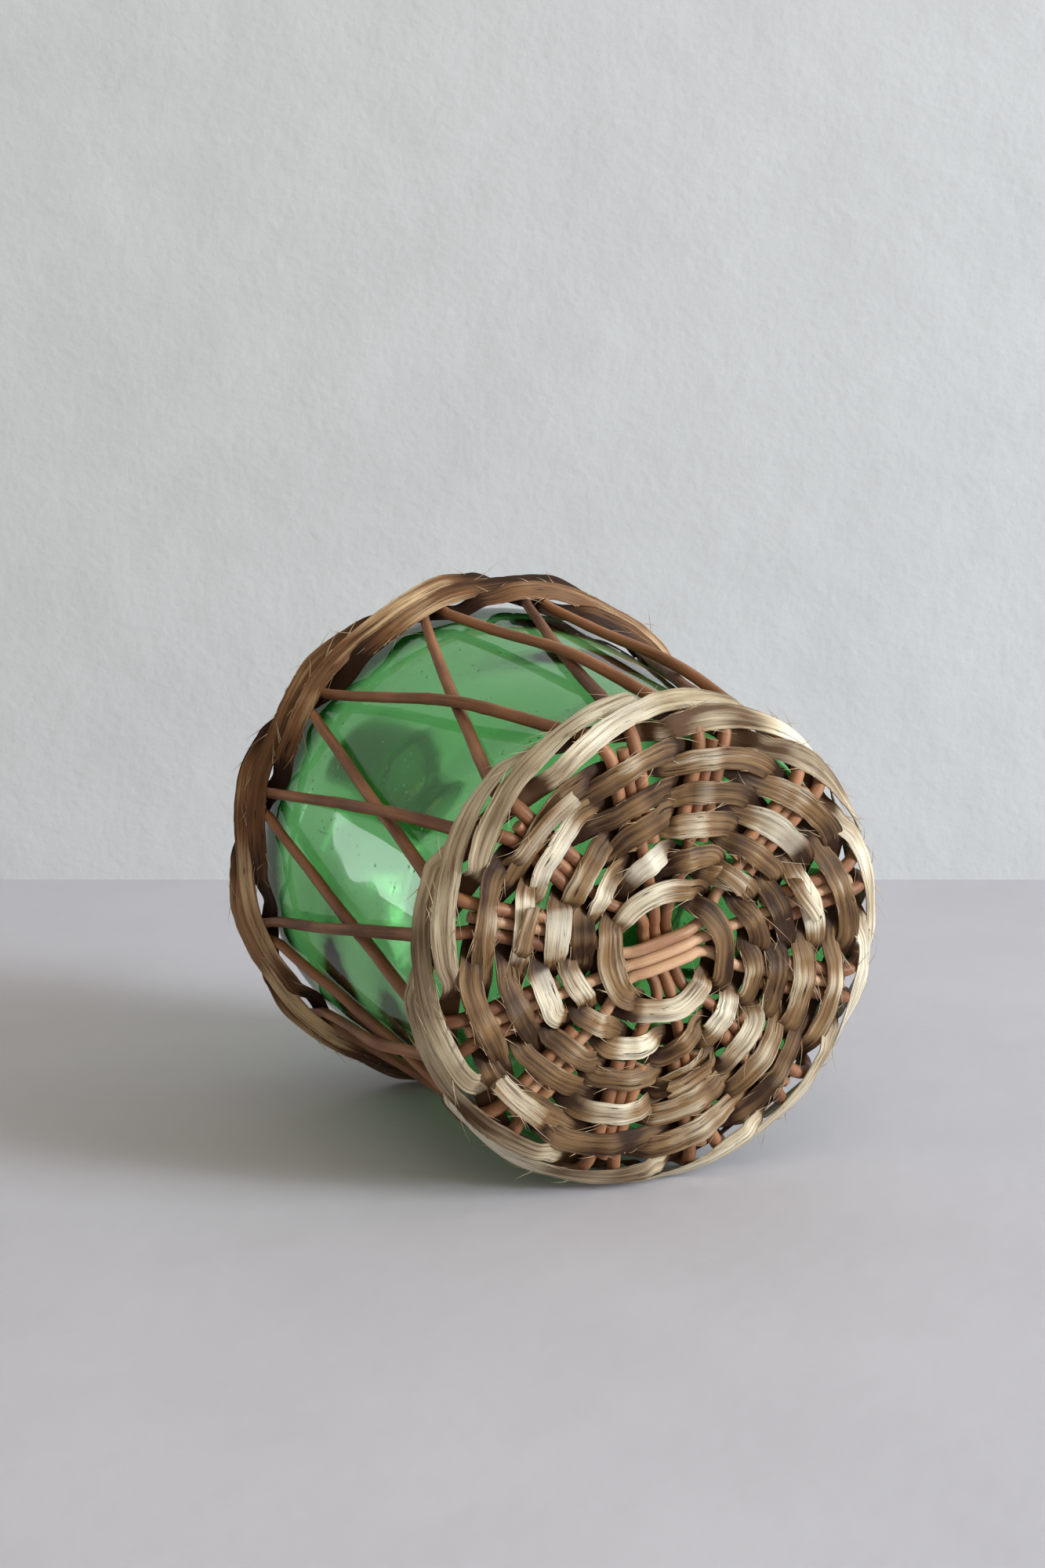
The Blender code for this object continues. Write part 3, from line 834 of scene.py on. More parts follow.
@dataclass(frozen=True)
class GlassFinish:
    """Blown green glass: coloured right through, wavy on its faces, and bubbly.

    Its faces are darker in a zone at the shoulder behind the band, as painted shade, and dusty at the neck.
    Both follow the height above the underside of the basket. The other ranges are as in StripFinish.
    """

    face_tint: Colour = (0.90, 0.97, 0.91)
    body_tint: Colour = (0.24, 0.74, 0.25)
    density: float = 255.0
    wave_scale: float = 16.0
    wave_depth: float = 0.0011
    drawn_grain: Grain = Grain((60.0, 9.0, 60.0), 2.0, 0.5)
    drawn_depth: float = 0.00022
    bubble_scale: float = 260.0
    bubbles: tuple = (0.05, 0.16, 1.0, 0.0)
    bubble_depth: float = 0.00025
    bubbly_scale: float = 90.0
    bubbly: tuple = (0.55, 0.62)
    haze_scale: float = 40.0
    haze: tuple = (0.4, 0.75, 0.015, 0.09)
    neck_tint: Colour = (0.70, 0.96, 0.68)
    band_shade_tint: Colour = (0.02, 0.075, 0.02)
    band_shade_from: float = 0.150
    thick_to: float = 0.190
    band_shade_fade: float = 0.010
    dusty: tuple = (0.190, 0.240)
    dust: float = 0.35

    def make(self) -> Material:
        """The finish for the bottle.

        Returns:
            The material.
        """
        sheet = Sheet("green_glass_bottle")
        place = sheet.node("TexCoord").outputs["Object"]
        waves = sheet.noise(place, self.wave_scale, 1.5, 0.45)
        drawn = sheet.grain(place, self.drawn_grain)
        cells = sheet.node("TexVoronoi", {"Vector": place, "Scale": self.bubble_scale}, feature="F1")
        bubbles = sheet.spread(cells.outputs["Distance"], *self.bubbles)
        bubbly = sheet.spread(sheet.noise(place, self.bubbly_scale, 1.0), *self.bubbly)
        normal = sheet.bump(waves, self.wave_depth, 0.8)
        normal = sheet.bump(drawn, self.drawn_depth, 0.7, normal)
        normal = sheet.bump(sheet.sum(bubbles, bubbly, "MULTIPLY"), self.bubble_depth, 0.6, normal)
        haze = sheet.spread(sheet.noise(place, self.haze_scale, 4.0), *self.haze)
        height = sheet.node("Attribute", attribute_name="height").outputs["Fac"]
        dusty = sheet.spread(height, *self.dusty)
        haze = sheet.sum(haze, sheet.sum(sheet.sum(dusty, dusty, "MULTIPLY"), self.dust, "MULTIPLY"))
        colour = sheet.mix(dusty, self.face_tint, self.neck_tint)
        # Painted shade of the band on the glass in the zone at the shoulder
        below = sheet.spread(height, self.band_shade_from, self.band_shade_from + self.band_shade_fade)
        above = sheet.spread(height, self.thick_to - self.band_shade_fade, self.thick_to, 1.0, 0.0)
        colour = sheet.mix(sheet.sum(below, above, "MULTIPLY"), colour, self.band_shade_tint)
        sheet.set(Base_Color=colour, Roughness=haze, IOR=1.48, Transmission_Weight=1.0, Normal=normal)
        body = sheet.node("VolumeAbsorption", {"Color": self.body_tint, "Density": self.density})
        sheet.tree.links.new(body.outputs["Volume"], sheet.output.inputs["Volume"])
        return sheet.material


@dataclass(frozen=True)
class CorkFinish:
    """Cork: warm granules and dark pits, with ranges as in StripFinish."""

    light: Colour = (0.80, 0.62, 0.40)
    dark: Colour = (0.56, 0.38, 0.21)
    pit: Colour = (0.06, 0.03, 0.018)
    granule_scale: float = 620.0
    granules: tuple = (0.1, 0.8)
    cloud_scale: float = 260.0
    clouds: tuple = (0.35, 0.65)
    pit_grain: Grain = Grain((420.0, 150.0, 420.0), 3.0)
    pits: tuple = (0.62, 0.70)
    pit_height: float = 1.5
    depth: float = 0.0005

    def make(self) -> Material:
        """The finish for the cork.

        Returns:
            The material.
        """
        sheet = Sheet("cork_grain")
        place = sheet.node("TexCoord").outputs["Object"]
        cells = sheet.node("TexVoronoi", {"Vector": place, "Scale": self.granule_scale}, feature="F1")
        clouds = sheet.noise(place, self.cloud_scale, 4.0)
        pits = sheet.spread(sheet.grain(place, self.pit_grain), *self.pits)
        colour = sheet.mix(sheet.spread(cells.outputs["Distance"], *self.granules), self.light, self.dark)
        colour = sheet.mix(sheet.spread(clouds, *self.clouds), colour, self.light)
        colour = sheet.mix(pits, colour, self.pit)
        height = sheet.sum(clouds, sheet.sum(pits, self.pit_height, "MULTIPLY"), "SUBTRACT")
        sheet.set(Base_Color=colour, Roughness=0.85, Normal=sheet.bump(height, self.depth, 0.8))
        return sheet.material


@dataclass(frozen=True)
class RoomFinish:
    """Matt pale floor or wall with a faint grain."""

    name: str
    colour: Colour
    scale: float
    depth: float
    one_sided: bool = False
    shades: tuple = (*MOST, 0.97, 1.03)
    fine_scale: float = 14.0
    fine_height: float = 0.12

    def make(self) -> Material:
        """The finish, whose back is open to sight and light where it is one-sided.

        Returns:
            The material.
        """
        sheet = Sheet(self.name)
        place = sheet.node("TexCoord").outputs["Object"]
        rough = sheet.noise(place, self.scale, 4.0)
        fine = sheet.noise(place, self.scale * self.fine_scale, 2.0)
        shade = sheet.spread(rough, *self.shades)
        grey = sheet.node("CombineColor", {0: shade, 1: shade, 2: shade}).outputs[0]
        height = sheet.sum(rough, sheet.sum(fine, self.fine_height, "MULTIPLY"))
        sheet.set(Base_Color=sheet.mix(1.0, self.colour, grey, "MULTIPLY"), Roughness=0.95,
                  Specular_IOR_Level=0.1, Normal=sheet.bump(height, self.depth, 0.8))
        if self.one_sided:
            back = sheet.node("NewGeometry").outputs["Backfacing"]
            clear = sheet.node("BsdfTransparent").outputs[0]
            both = sheet.node("MixShader", {0: back, 1: sheet.shader.outputs[0], 2: clear})
            sheet.tree.links.new(both.outputs[0], sheet.output.inputs["Surface"])
        return sheet.material


STRAW = StripFinish("straw_strip", pale=(0.70, 0.61, 0.455), middle=(0.225, 0.126, 0.053),
                    deep=(0.030, 0.011, 0.003), weathered=(0.50, 0.46, 0.38), roughness=0.31)
RIM_STRAW = StripFinish("rim_strip", pale=(0.76, 0.695, 0.55), middle=(0.48, 0.385, 0.255),
                        deep=(0.085, 0.041, 0.018), weathered=(0.50, 0.43, 0.33))
RUSSET = StripFinish("russet_strip", pale=(0.64, 0.45, 0.26), middle=(0.190, 0.086, 0.035),
                     deep=(0.026, 0.010, 0.004), weathered=(0.30, 0.17, 0.09))
BROWN_WILLOW = WillowFinish("brown_willow", light=(0.36, 0.165, 0.080), dark=(0.125, 0.049, 0.023),
                            knot=(0.05, 0.022, 0.012))
PEELED_WILLOW = WillowFinish("peeled_willow", light=(0.56, 0.34, 0.20), dark=(0.30, 0.15, 0.080),
                             knot=(0.14, 0.065, 0.035), roughness=0.45)


# Willow

@dataclass
class Run:
    """A path with a face: middles, directions across it and off its face, and distances along it."""

    middle: Points
    across: Points
    off: Points
    along: Points

    @classmethod
    def from_path(cls, middle: Points, face: Points, roll: Points | float = 0.0) -> "Run":
        """Work out the directions along a path.

        Args:
            middle: Points of the path.
            face: Roughly which way the face looks at each point.
            roll: Angle in radians by which the face is turned about the path.

        Returns:
            The finished run.
        """
        tangent = normalised(np.gradient(middle, axis=0))
        across = normalised(np.cross(tangent, face))
        off = np.cross(across, tangent)
        roll = np.broadcast_to(roll, len(middle))[:, None]
        turned = across * np.cos(roll) + off * np.sin(roll)
        lifted = off * np.cos(roll) - across * np.sin(roll)
        steps = np.linalg.norm(np.diff(middle, axis=0), axis=1)
        return cls(middle, turned, lifted, np.concatenate([[0.0], np.cumsum(steps)]))

    @property
    def tangent(self) -> Points:
        """Direction along the path."""
        return normalised(np.gradient(self.middle, axis=0))


def smooth_line(points: Points, step: float, density: int = 12, fewest: int = 4) -> Points:
    """Evenly spaced points on a smooth curve through the given ones.

    Args:
        points: Points that the curve passes through.
        step: Distance between the new points.
        density: Places worked out between two given points before they are spaced evenly.
        fewest: Least number of new points.

    Returns:
        The new points.
    """
    ends = np.concatenate([[2 * points[0] - points[1]], points, [2 * points[-1] - points[-2]]])
    dense = []
    shares = np.linspace(0.0, 1.0, density, endpoint=False)[:, None]
    for index in range(1, len(ends) - 2):
        before, start, end, after = ends[index - 1:index + 3]
        reach, earlier, later = (np.linalg.norm(part) for part in (end - start, start - before, after - end))
        leave = (end - before) * reach / max(reach + earlier, TINY)
        arrive = (after - start) * reach / max(later + reach, TINY)
        dense.append(hermite(start, leave, end, arrive, shares))
    line = np.concatenate([*dense, points[-1:]])
    travelled = np.concatenate([[0.0], np.cumsum(np.linalg.norm(np.diff(line, axis=0), axis=1))])
    places = np.linspace(0.0, travelled[-1], max(int(travelled[-1] / step), fewest))
    return np.stack([np.interp(places, travelled, line[:, part]) for part in range(3)], axis=1)


@dataclass
class WillowRods:
    """The base sticks and side stakes: round rods with knots, slight kinks and cut ends.

    A drift is the distance between its turns and how far it usually strays.
    """

    ring_step: float = 0.0022
    corners: int = 12
    sticks: int = 3
    slath_rest: float = 0.0016
    slath_step: float = 0.0040
    slath_opening: float = 0.0210
    slath_places: int = 5
    slath_drop: float = 0.6
    stick_shortfall: float = 0.0089
    stake_foot: tuple = (0.0434, 0.055, 0.067)
    bend_lead: float = 0.002
    bend_places: int = 4
    side_places: int = 26
    head_turn: float = 1.05
    head_slant: float = 0.3
    tip_shortfall: float = 0.0040
    first_knot: float = 0.01
    knot_spacing: float = 0.046
    knot_scatter: float = 0.006
    knot_length: float = 0.0022
    knot_swelling: float = 0.07
    kink_drift: tuple = (0.021, 0.00012)
    girth_drift: tuple = (0.030, 0.02)
    taper: tuple = (1.20, 0.90)
    tone: float = 0.5
    tone_spread: float = 0.16
    tone_drift: tuple = (0.03, 0.14)
    rng: np.random.Generator = field(default_factory=lambda: np.random.default_rng(11))

    def rod(self, name: str, points: Points, face: Callable, finish: WillowFinish, slot: Slot, seed: int,
            tapered: bool) -> None:
        """Model one rod along its run and hand it over.

        Args:
            name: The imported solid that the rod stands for.
            points: Points that its middle passes through.
            face: Gives a direction that is never along the rod, for points of the rod.
            finish: Its skin.
            slot: The record's slot.
            seed: Number of the rod.
            tapered: True where it thins towards its end.
        """
        line = smooth_line(points, self.ring_step)
        run = Run.from_path(line, face(line))
        drift = wander(self.rng, run.along, *self.kink_drift)
        radius = BASKETRY.rod_radius * (1.0 + wander(self.rng, run.along, *self.girth_drift))
        if tapered:
            radius = radius * blend(*self.taper, run.along / run.along[-1])
        first = self.rng.uniform(self.first_knot, self.knot_spacing)
        for place in np.arange(first, run.along[-1], self.knot_spacing):
            away = (run.along - place + self.rng.normal(0.0, self.knot_scatter)) / self.knot_length
            radius = radius * (1.0 + self.knot_swelling * np.exp(-away ** 2))
        turn = np.linspace(0.0, 2 * math.pi, self.corners, endpoint=False)[None, :, None]
        spoke = run.across[:, None] * np.cos(turn) + run.off[:, None] * np.sin(turn)
        centre = run.middle + run.off * drift[:, None]
        rings = centre[:, None] + spoke * radius[:, None, None]
        tone = self.tone + self.rng.normal(0.0, self.tone_spread)
        tone = tone + wander(self.rng, run.along, *self.tone_drift)
        piece = Bench.lay_tube(name + WORN, rings, 2 * math.pi * BASKETRY.rod_radius, tone)
        piece.data.materials.append(finish.make(seed))
        Bench.paint_ends(piece, (len(rings) - 1) * self.corners, self.cut_end)
        hand_over(piece, Body.DEMIJOHN, slot, name)

    def stick_half(self, lane: float, arm: float, spoke: float, level: float) -> Points:
        """Half of a base stick, from the slath out to the rim.

        Args:
            lane: How far the stick lies beside the middle one.
            arm: Angle of the slath's arm that it lies in.
            spoke: Angle that it is opened out to.
            level: Height of its middle in the slath.

        Returns:
            Points of its middle.
        """
        along, side, out = unit(arm), unit(arm + 90.0) * lane, unit(spoke)
        cross = BASKETRY.rod_spacing + BASKETRY.rod_radius + BASKETRY.clearance + self.slath_rest
        start = along * (cross + self.slath_step) + side
        end = out * (cross + self.slath_step + self.slath_opening)
        pull = np.linalg.norm(end - start)
        opening = [hermite(start, along * pull, end, out * pull, share)
                   for share in np.linspace(0.0, 1.0, self.slath_places)]
        tip = out * (float(BASKETRY.stake_radius(BASKETRY.rim_exit)) - self.stick_shortfall)
        line = np.array([along * cross + side, *opening, tip])
        line[:, 2] = BASKETRY.rod_level
        line[0, 2] = level
        if level > BASKETRY.rod_level:
            line[1, 2] = blend(level, BASKETRY.rod_level, self.slath_drop)
        return line

    def build_sticks(self) -> None:
        """Three pale sticks across three brown ones, opened out into the spokes."""
        low = BASKETRY.rod_radius + BASKETRY.clearance
        slath, above = BASKETRY.slath_angle, low + BASKETRY.rod_spacing
        layers = (("outer", slath, -2, low, PEELED_WILLOW, Slot.PEELED),
                  ("inner", slath + 90.0, 1, above, BROWN_WILLOW, Slot.BROWN))
        across = len(BASKETRY.groups) // 2 + self.sticks - 1
        for layer, arm, first, level, finish, slot in layers:
            for number in range(self.sticks):
                lane = (number - (self.sticks - 1) / 2) * BASKETRY.rod_spacing
                near = self.stick_half(lane, arm, BASKETRY.group(first + number), level)
                far = self.stick_half(-lane, arm + 180.0, BASKETRY.group(first + across - number), level)
                points = np.concatenate([far[::-1], near])
                name = f"base_stick_{layer}_{number + 1}"
                self.rod(name, points, self.upward, finish, slot, number + self.sticks, False)

    @staticmethod
    def upward(line: Points) -> Points:
        """Up, at every point of a rod that lies flat."""
        return np.tile([0.0, 0.0, 1.0], (len(line), 1))

    @staticmethod
    def sideways(line: Points) -> Points:
        """Round the axis, at every point of a rod that runs out and up."""
        return normalised(np.stack([-line[:, 1], line[:, 0], np.zeros(len(line))], axis=1))

    def stake_line(self, index: int, forward: bool) -> Points:
        """Run of one stake: beside its spoke, round the rim, up the side and through the band.

        Args:
            index: The group that it starts from.
            forward: True where it crosses to the group ahead, and False where to the one behind.

        Returns:
            Points of its middle.
        """
        own = BASKETRY.group(index)
        step, lane = (1, BASKETRY.rod_spacing) if forward else (-1, -BASKETRY.rod_spacing)
        neighbour = BASKETRY.group(index + step)
        gap = abs(neighbour - own)
        feet, heads = BASKETRY.feet, BASKETRY.heads
        foot = own + feet[0 if forward else 1]
        head = neighbour + heads[0 if forward else 1]
        foot_gap = gap + feet[1] - feet[0]
        closing = (gap + heads[0] - feet[0]) + (gap + feet[1] - heads[1])
        crossing = blend(BASKETRY.rim_exit, BASKETRY.band_foot, foot_gap / closing)
        beside = unit(own + 90.0) * lane + np.array([0.0, 0.0, BASKETRY.rod_level])
        inner_places = (*self.stake_foot, BASKETRY.bend_start - self.bend_lead)
        points = [unit(own) * radius + beside for radius in inner_places]
        start_angle = own + math.degrees(math.atan2(lane, BASKETRY.bend_start))
        for place in range(self.bend_places):
            share = (place + 1) / self.bend_places
            radius, height, _, _ = BASKETRY.rim_line(BASKETRY.bend_length * share)
            points.append(around(blend(start_angle, foot, share), radius, height))
        head_height = BASKETRY.band_top - self.tip_shortfall
        for height in np.linspace(BASKETRY.rim_top, head_height, self.side_places):
            travel = (height - BASKETRY.rim_exit) / (BASKETRY.band_foot - BASKETRY.rim_exit)
            travel = min(travel, self.head_turn) + self.head_slant * max(travel - self.head_turn, 0.0)
            radius = float(BASKETRY.stake_radius(height))
            if not forward:
                free = crossing - BASKETRY.rim_top if height < crossing else BASKETRY.band_foot - crossing
                distance = min(abs(height - crossing) / free, 1.0)
                radius += BASKETRY.rod_spacing * (1.0 + math.cos(math.pi * distance)) / 2
            points.append(around(blend(foot, head, travel), radius, height))
        return np.array(points)

    def build_stakes(self) -> None:
        """Twenty-four side stakes, one on each side of every spoke."""
        for index in range(len(BASKETRY.groups)):
            for forward in (True, False):
                name = f"side_stake_{'forward' if forward else 'backward'}_{index + 1:02d}"
                points = self.stake_line(index, forward)
                self.rod(name, points, self.sideways, BROWN_WILLOW, Slot.BROWN, 2 * index + forward, True)

    def build(self) -> None:
        """Make every rod."""
        self.cut_end = CutWoodFinish().make()
        self.build_sticks()
        self.build_stakes()


# Woven strips

@dataclass
class Strand:
    """One flat strip on its woven way round: places with a lane, a level, a shade and a width."""

    angles: list = field(default_factory=list)
    lanes: list = field(default_factory=list)
    levels: list = field(default_factory=list)
    shades: list = field(default_factory=list)
    widths: list = field(default_factory=list)

    def pass_by(self, angle: float, lane: float, level: float, shade: float, width: float) -> None:
        """Add a place that the strip passes.

        Args:
            angle: Its angle round the axis.
            lane: How far across the weave the strip lies there.
            level: How far it lies on the outer side of the rods.
            shade: How pale it is there, with painted shade where the strip tucks under.
            width: Its width there.
        """
        self.angles.append(angle)
        self.lanes.append(lane)
        self.levels.append(level)
        self.shades.append(shade)
        self.widths.append(width)


@dataclass
class StripWeaver:
    """Weaves flat strips over and under the groups of rods, with painted shade where they dive and tuck
    under.

    A level of 1 is a strip that lies on the rods' outer side, and -1 one on their inner side. A drift is the
    distance between its turns and how far it usually strays.
    """

    strands: int
    lane_width: float
    stops: list
    finish: StripFinish
    slot: Slot
    wide: float
    narrow: float
    thickness: float = 0.00072
    edge_sharpness: int = 6
    crown: float = 0.00016
    curl_drift: tuple = (0.018, 0.00030)
    ridge_drift: tuple = (0.016, 0.00009)
    ridge_beneath: float = 0.4
    edge_drift: tuple = (0.011, 0.05)
    edge_nicks: tuple = (0.0028, 0.018)
    roll_drift: tuple = (0.019, math.radians(8.0))
    shade_drift: tuple = (0.02, 0.05)
    leaf: tuple = (0.88, 1.08)
    neck: float = 0.8
    bulge: float = 0.20
    sag: float = 0.16
    # Painted shade where a strip turns down at a group's edge
    edge_painted_shade: float = 0.20
    slip: float = 0.13
    shingle: float = 0.24
    seam_gap: float = 0.14
    looseness: float = 0.10
    brightness: float = 0.57
    # Painted shade of a strip where it lies under a group
    under_painted_shade: float = -0.3
    unevenness: float = 0.24
    over_level: float = 1.0
    under_level: float = -1.0
    between: float = 0.3
    # Painted shade of a strip in the gap, where it dives to the other side
    between_shade: float = 0.24
    overlap: float = 0.0
    slant_spread: float = 0.10
    columns: int = 11
    ring_step: float = 0.0012
    tear: float = 0.0015
    tail_level: float = 1.62
    tail_rise: float = 0.25
    tail_root_level: float = 0.1
    tail_shades: tuple = (0.5, 0.85)
    # Painted shade of a spliced end at its tucked root and where it rises
    tail_painted_shade: tuple = (0.4, 0.1)
    tail_widths: tuple = (0.6, 0.9)
    tail_slant: float = 0.5
    rng: np.random.Generator = field(default_factory=lambda: np.random.default_rng(5))

    def stop(self, index: int) -> tuple[float, float]:
        """Start and end of a group.

        Args:
            index: The group, counted on past a full turn.

        Returns:
            Its two angles, counted on in the same way.
        """
        turn = 360.0 * (index // len(self.stops))
        start, end = self.stops[index % len(self.stops)]
        return start + turn, end + turn

    def level(self, phase: int) -> float:
        """Level of a strip over or under a group: later overs lie on earlier ones, like shingles."""
        return self.over_level + self.shingle * phase if phase != self.strands - 1 else self.under_level

    def strand(self, number: int, seam: int) -> Strand:
        """Way of one strip once round, from behind one group to behind the same group.

        Args:
            number: Which of the strands that are woven together.
            seam: Which of its passes behind a group it starts from.

        Returns:
            The places that it passes.
        """
        way = Strand()
        middle_lane = (self.strands - 1) / 2
        first = number + self.strands * (seam + 1) - 1
        last = first + len(self.stops)
        for index in range(first, last + 1):
            start, end = self.stop(index)
            phase = (index - number) % self.strands
            over = phase != self.strands - 1
            lanes = ((phase - middle_lane) * self.lane_width,
                     ((phase + 1) % self.strands - middle_lane) * self.lane_width)
            before, after = blend(*lanes, self.slant_spread), blend(*lanes, 1.0 - self.slant_spread)
            level = self.level(phase) + abs(self.rng.normal(0.0, self.looseness)) * over
            # Over a group a strip has a random tone of its own, with painted shade at the group's edges;
            # under it, painted shade
            shade = self.rng.normal(self.brightness, self.unevenness) if over else self.under_painted_shade
            slip = self.rng.normal(0.0, self.slip) * self.lane_width
            leaf = self.wide * self.rng.uniform(*self.leaf) if over else self.narrow
            neck = blend(self.narrow, leaf, self.neck)
            sag = self.sag * over
            if index > first:
                way.pass_by(start, before + slip, level - sag, shade - self.edge_painted_shade, neck)
            lap = self.seam_gap * ((index == first) - (index == last))
            middle = ((start + end) / 2, (before + after) / 2 + slip, level + self.bulge * over + lap)
            way.pass_by(*middle, shade, leaf)
            if index < last:
                way.pass_by(end, after + slip, level - sag, shade - self.edge_painted_shade, neck)
            # A strip that goes to the other side dives through the gap with painted shade
            if index < last and phase >= self.strands - 2:
                next_start, _ = self.stop(index + 1)
                pressed = self.between + (self.overlap if over else -self.overlap)
                way.pass_by((end + next_start) / 2, lanes[1] + slip, pressed, self.between_shade, neck)
        return way

    def section(self) -> tuple[Points, Points]:
        """Round of the strip's section, which is thinner at its two edges.

        Returns:
            Places across the strip, and shares of its thickness.
        """
        across = -np.cos(np.linspace(0.0, math.pi, self.columns))
        edge = 0.5 + 0.5 * (1.0 - across ** self.edge_sharpness)
        places = np.concatenate([across, across[::-1]])
        walls = np.concatenate([edge, -edge[::-1]]) / 2
        return places, walls

    def lay(self, name: str, number: int, seam: int, place: Callable, girth_radius: float, seed: int) -> None:
        """Model one strip and hand it over.

        Args:
            name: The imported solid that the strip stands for.
            number: Which of the strands that are woven together.
            seam: Which of its passes behind a group it starts from.
            place: Gives the middle and the face direction from angle, lane and level.
            girth_radius: Usual distance from the axis, for the spacing of the rings.
            seed: Number of the strip.
        """
        self.shape(name, self.strand(number, seam), place, girth_radius, seed)
        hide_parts(name)

    def shape(self, name: str, way: Strand, place: Callable, girth_radius: float, seed: int) -> None:
        """Model a strip along its way and let it ride on the basket.

        Args:
            name: The strip's name.
            way: The places that it passes.
            place: Gives the middle and the face direction from angle, lane and level.
            girth_radius: Usual distance from the axis, for the spacing of the rings.
            seed: Number of the strip.
        """
        span = way.angles[-1] - way.angles[0]
        count = int(math.radians(span) * girth_radius / self.ring_step)
        angle = np.linspace(way.angles[0], way.angles[-1], count)
        lane = flowing(angle, way.angles, way.lanes)
        level = eased(angle, way.angles, way.levels)
        shade = eased(angle, way.angles, way.shades)
        along = np.radians(angle - angle[0]) * girth_radius
        middle, face = place(angle, lane, level)
        run = Run.from_path(middle, face, wander(self.rng, along, *self.roll_drift))
        half = flowing(angle, way.angles, way.widths) / 2
        places, walls = self.section()
        edges = (1.0 + wander(self.rng, along, *self.edge_drift) + wander(self.rng, along, *self.edge_nicks)
                 for _ in range(2))
        left, right = (half * edge for edge in edges)
        reach = np.where(places[None, :] < 0.0, left[:, None], right[:, None]) * places[None, :]
        ridge = np.stack([wander(self.rng, along, *self.ridge_drift) for _ in range(self.columns)], axis=1)
        ridge = np.concatenate([ridge, self.ridge_beneath * ridge[:, ::-1]], axis=1)
        bow = self.crown + wander(self.rng, along, *self.curl_drift)
        arch = 1.0 - places[None, :] ** 2
        rise = bow[:, None] * arch + walls[None, :] * self.thickness + ridge * arch
        rings = run.middle[:, None] + run.across[:, None] * reach[:, :, None]
        rings = rings + run.off[:, None] * rise[:, :, None]
        rings = self.torn(rings, run)
        # The tone carries the painted shade of the tucks, with a slow random drift
        tone = shade + wander(self.rng, along, *self.shade_drift)
        piece = Bench.lay_tube(name + WORN, rings, self.wide * 2.0, tone)
        piece.data.materials.append(self.finish.make(seed))
        hand_over(piece, Body.DEMIJOHN, self.slot)
        LOOSE_FIBRES.remember(run, half, level)

    def tail(self, index: int, lane: float, reach: tuple) -> Strand:
        """Way of a short spliced end that comes out from under a strip and lies over a group.

        Args:
            index: The group that it lies over.
            lane: Where it lies across the round.
            reach: Where it starts and ends, as shares of the gaps before and after the group.

        Returns:
            The places that it passes.
        """
        way = Strand()
        _, before_end = self.stop(index - 1)
        start, end = self.stop(index)
        next_start, _ = self.stop(index + 1)
        shade, width = self.rng.uniform(*self.tail_shades), self.wide * self.rng.uniform(*self.tail_widths)
        slant = self.rng.uniform(0.0, self.tail_slant) * self.lane_width
        # The tucked root and the rise get painted shade
        tucked, rising = (shade - darker for darker in self.tail_painted_shade)
        way.pass_by(blend(start, before_end, reach[0]), lane - slant, self.tail_root_level, tucked, width)
        way.pass_by(start, lane - slant, self.tail_level, rising, width)
        tip = blend(end, next_start, reach[1])
        way.pass_by(tip, lane + slant, self.tail_level + self.tail_rise, shade, width)
        return way

    def torn(self, rings: Points, run: Run) -> Points:
        """Make the ends ragged, where the fibres break off at unlike lengths.

        Args:
            rings: Corner points of every ring.
            run: The strip's run.

        Returns:
            The rings, with the first and the last one torn.
        """
        columns = rings.shape[1] // 2
        for end, sign in ((0, -1.0), (-1, 1.0)):
            length = self.rng.uniform(-self.tear, self.tear, columns)
            length = np.concatenate([length, length[::-1]])
            rings[end] += run.tangent[end] * (sign * length)[:, None]
        return rings


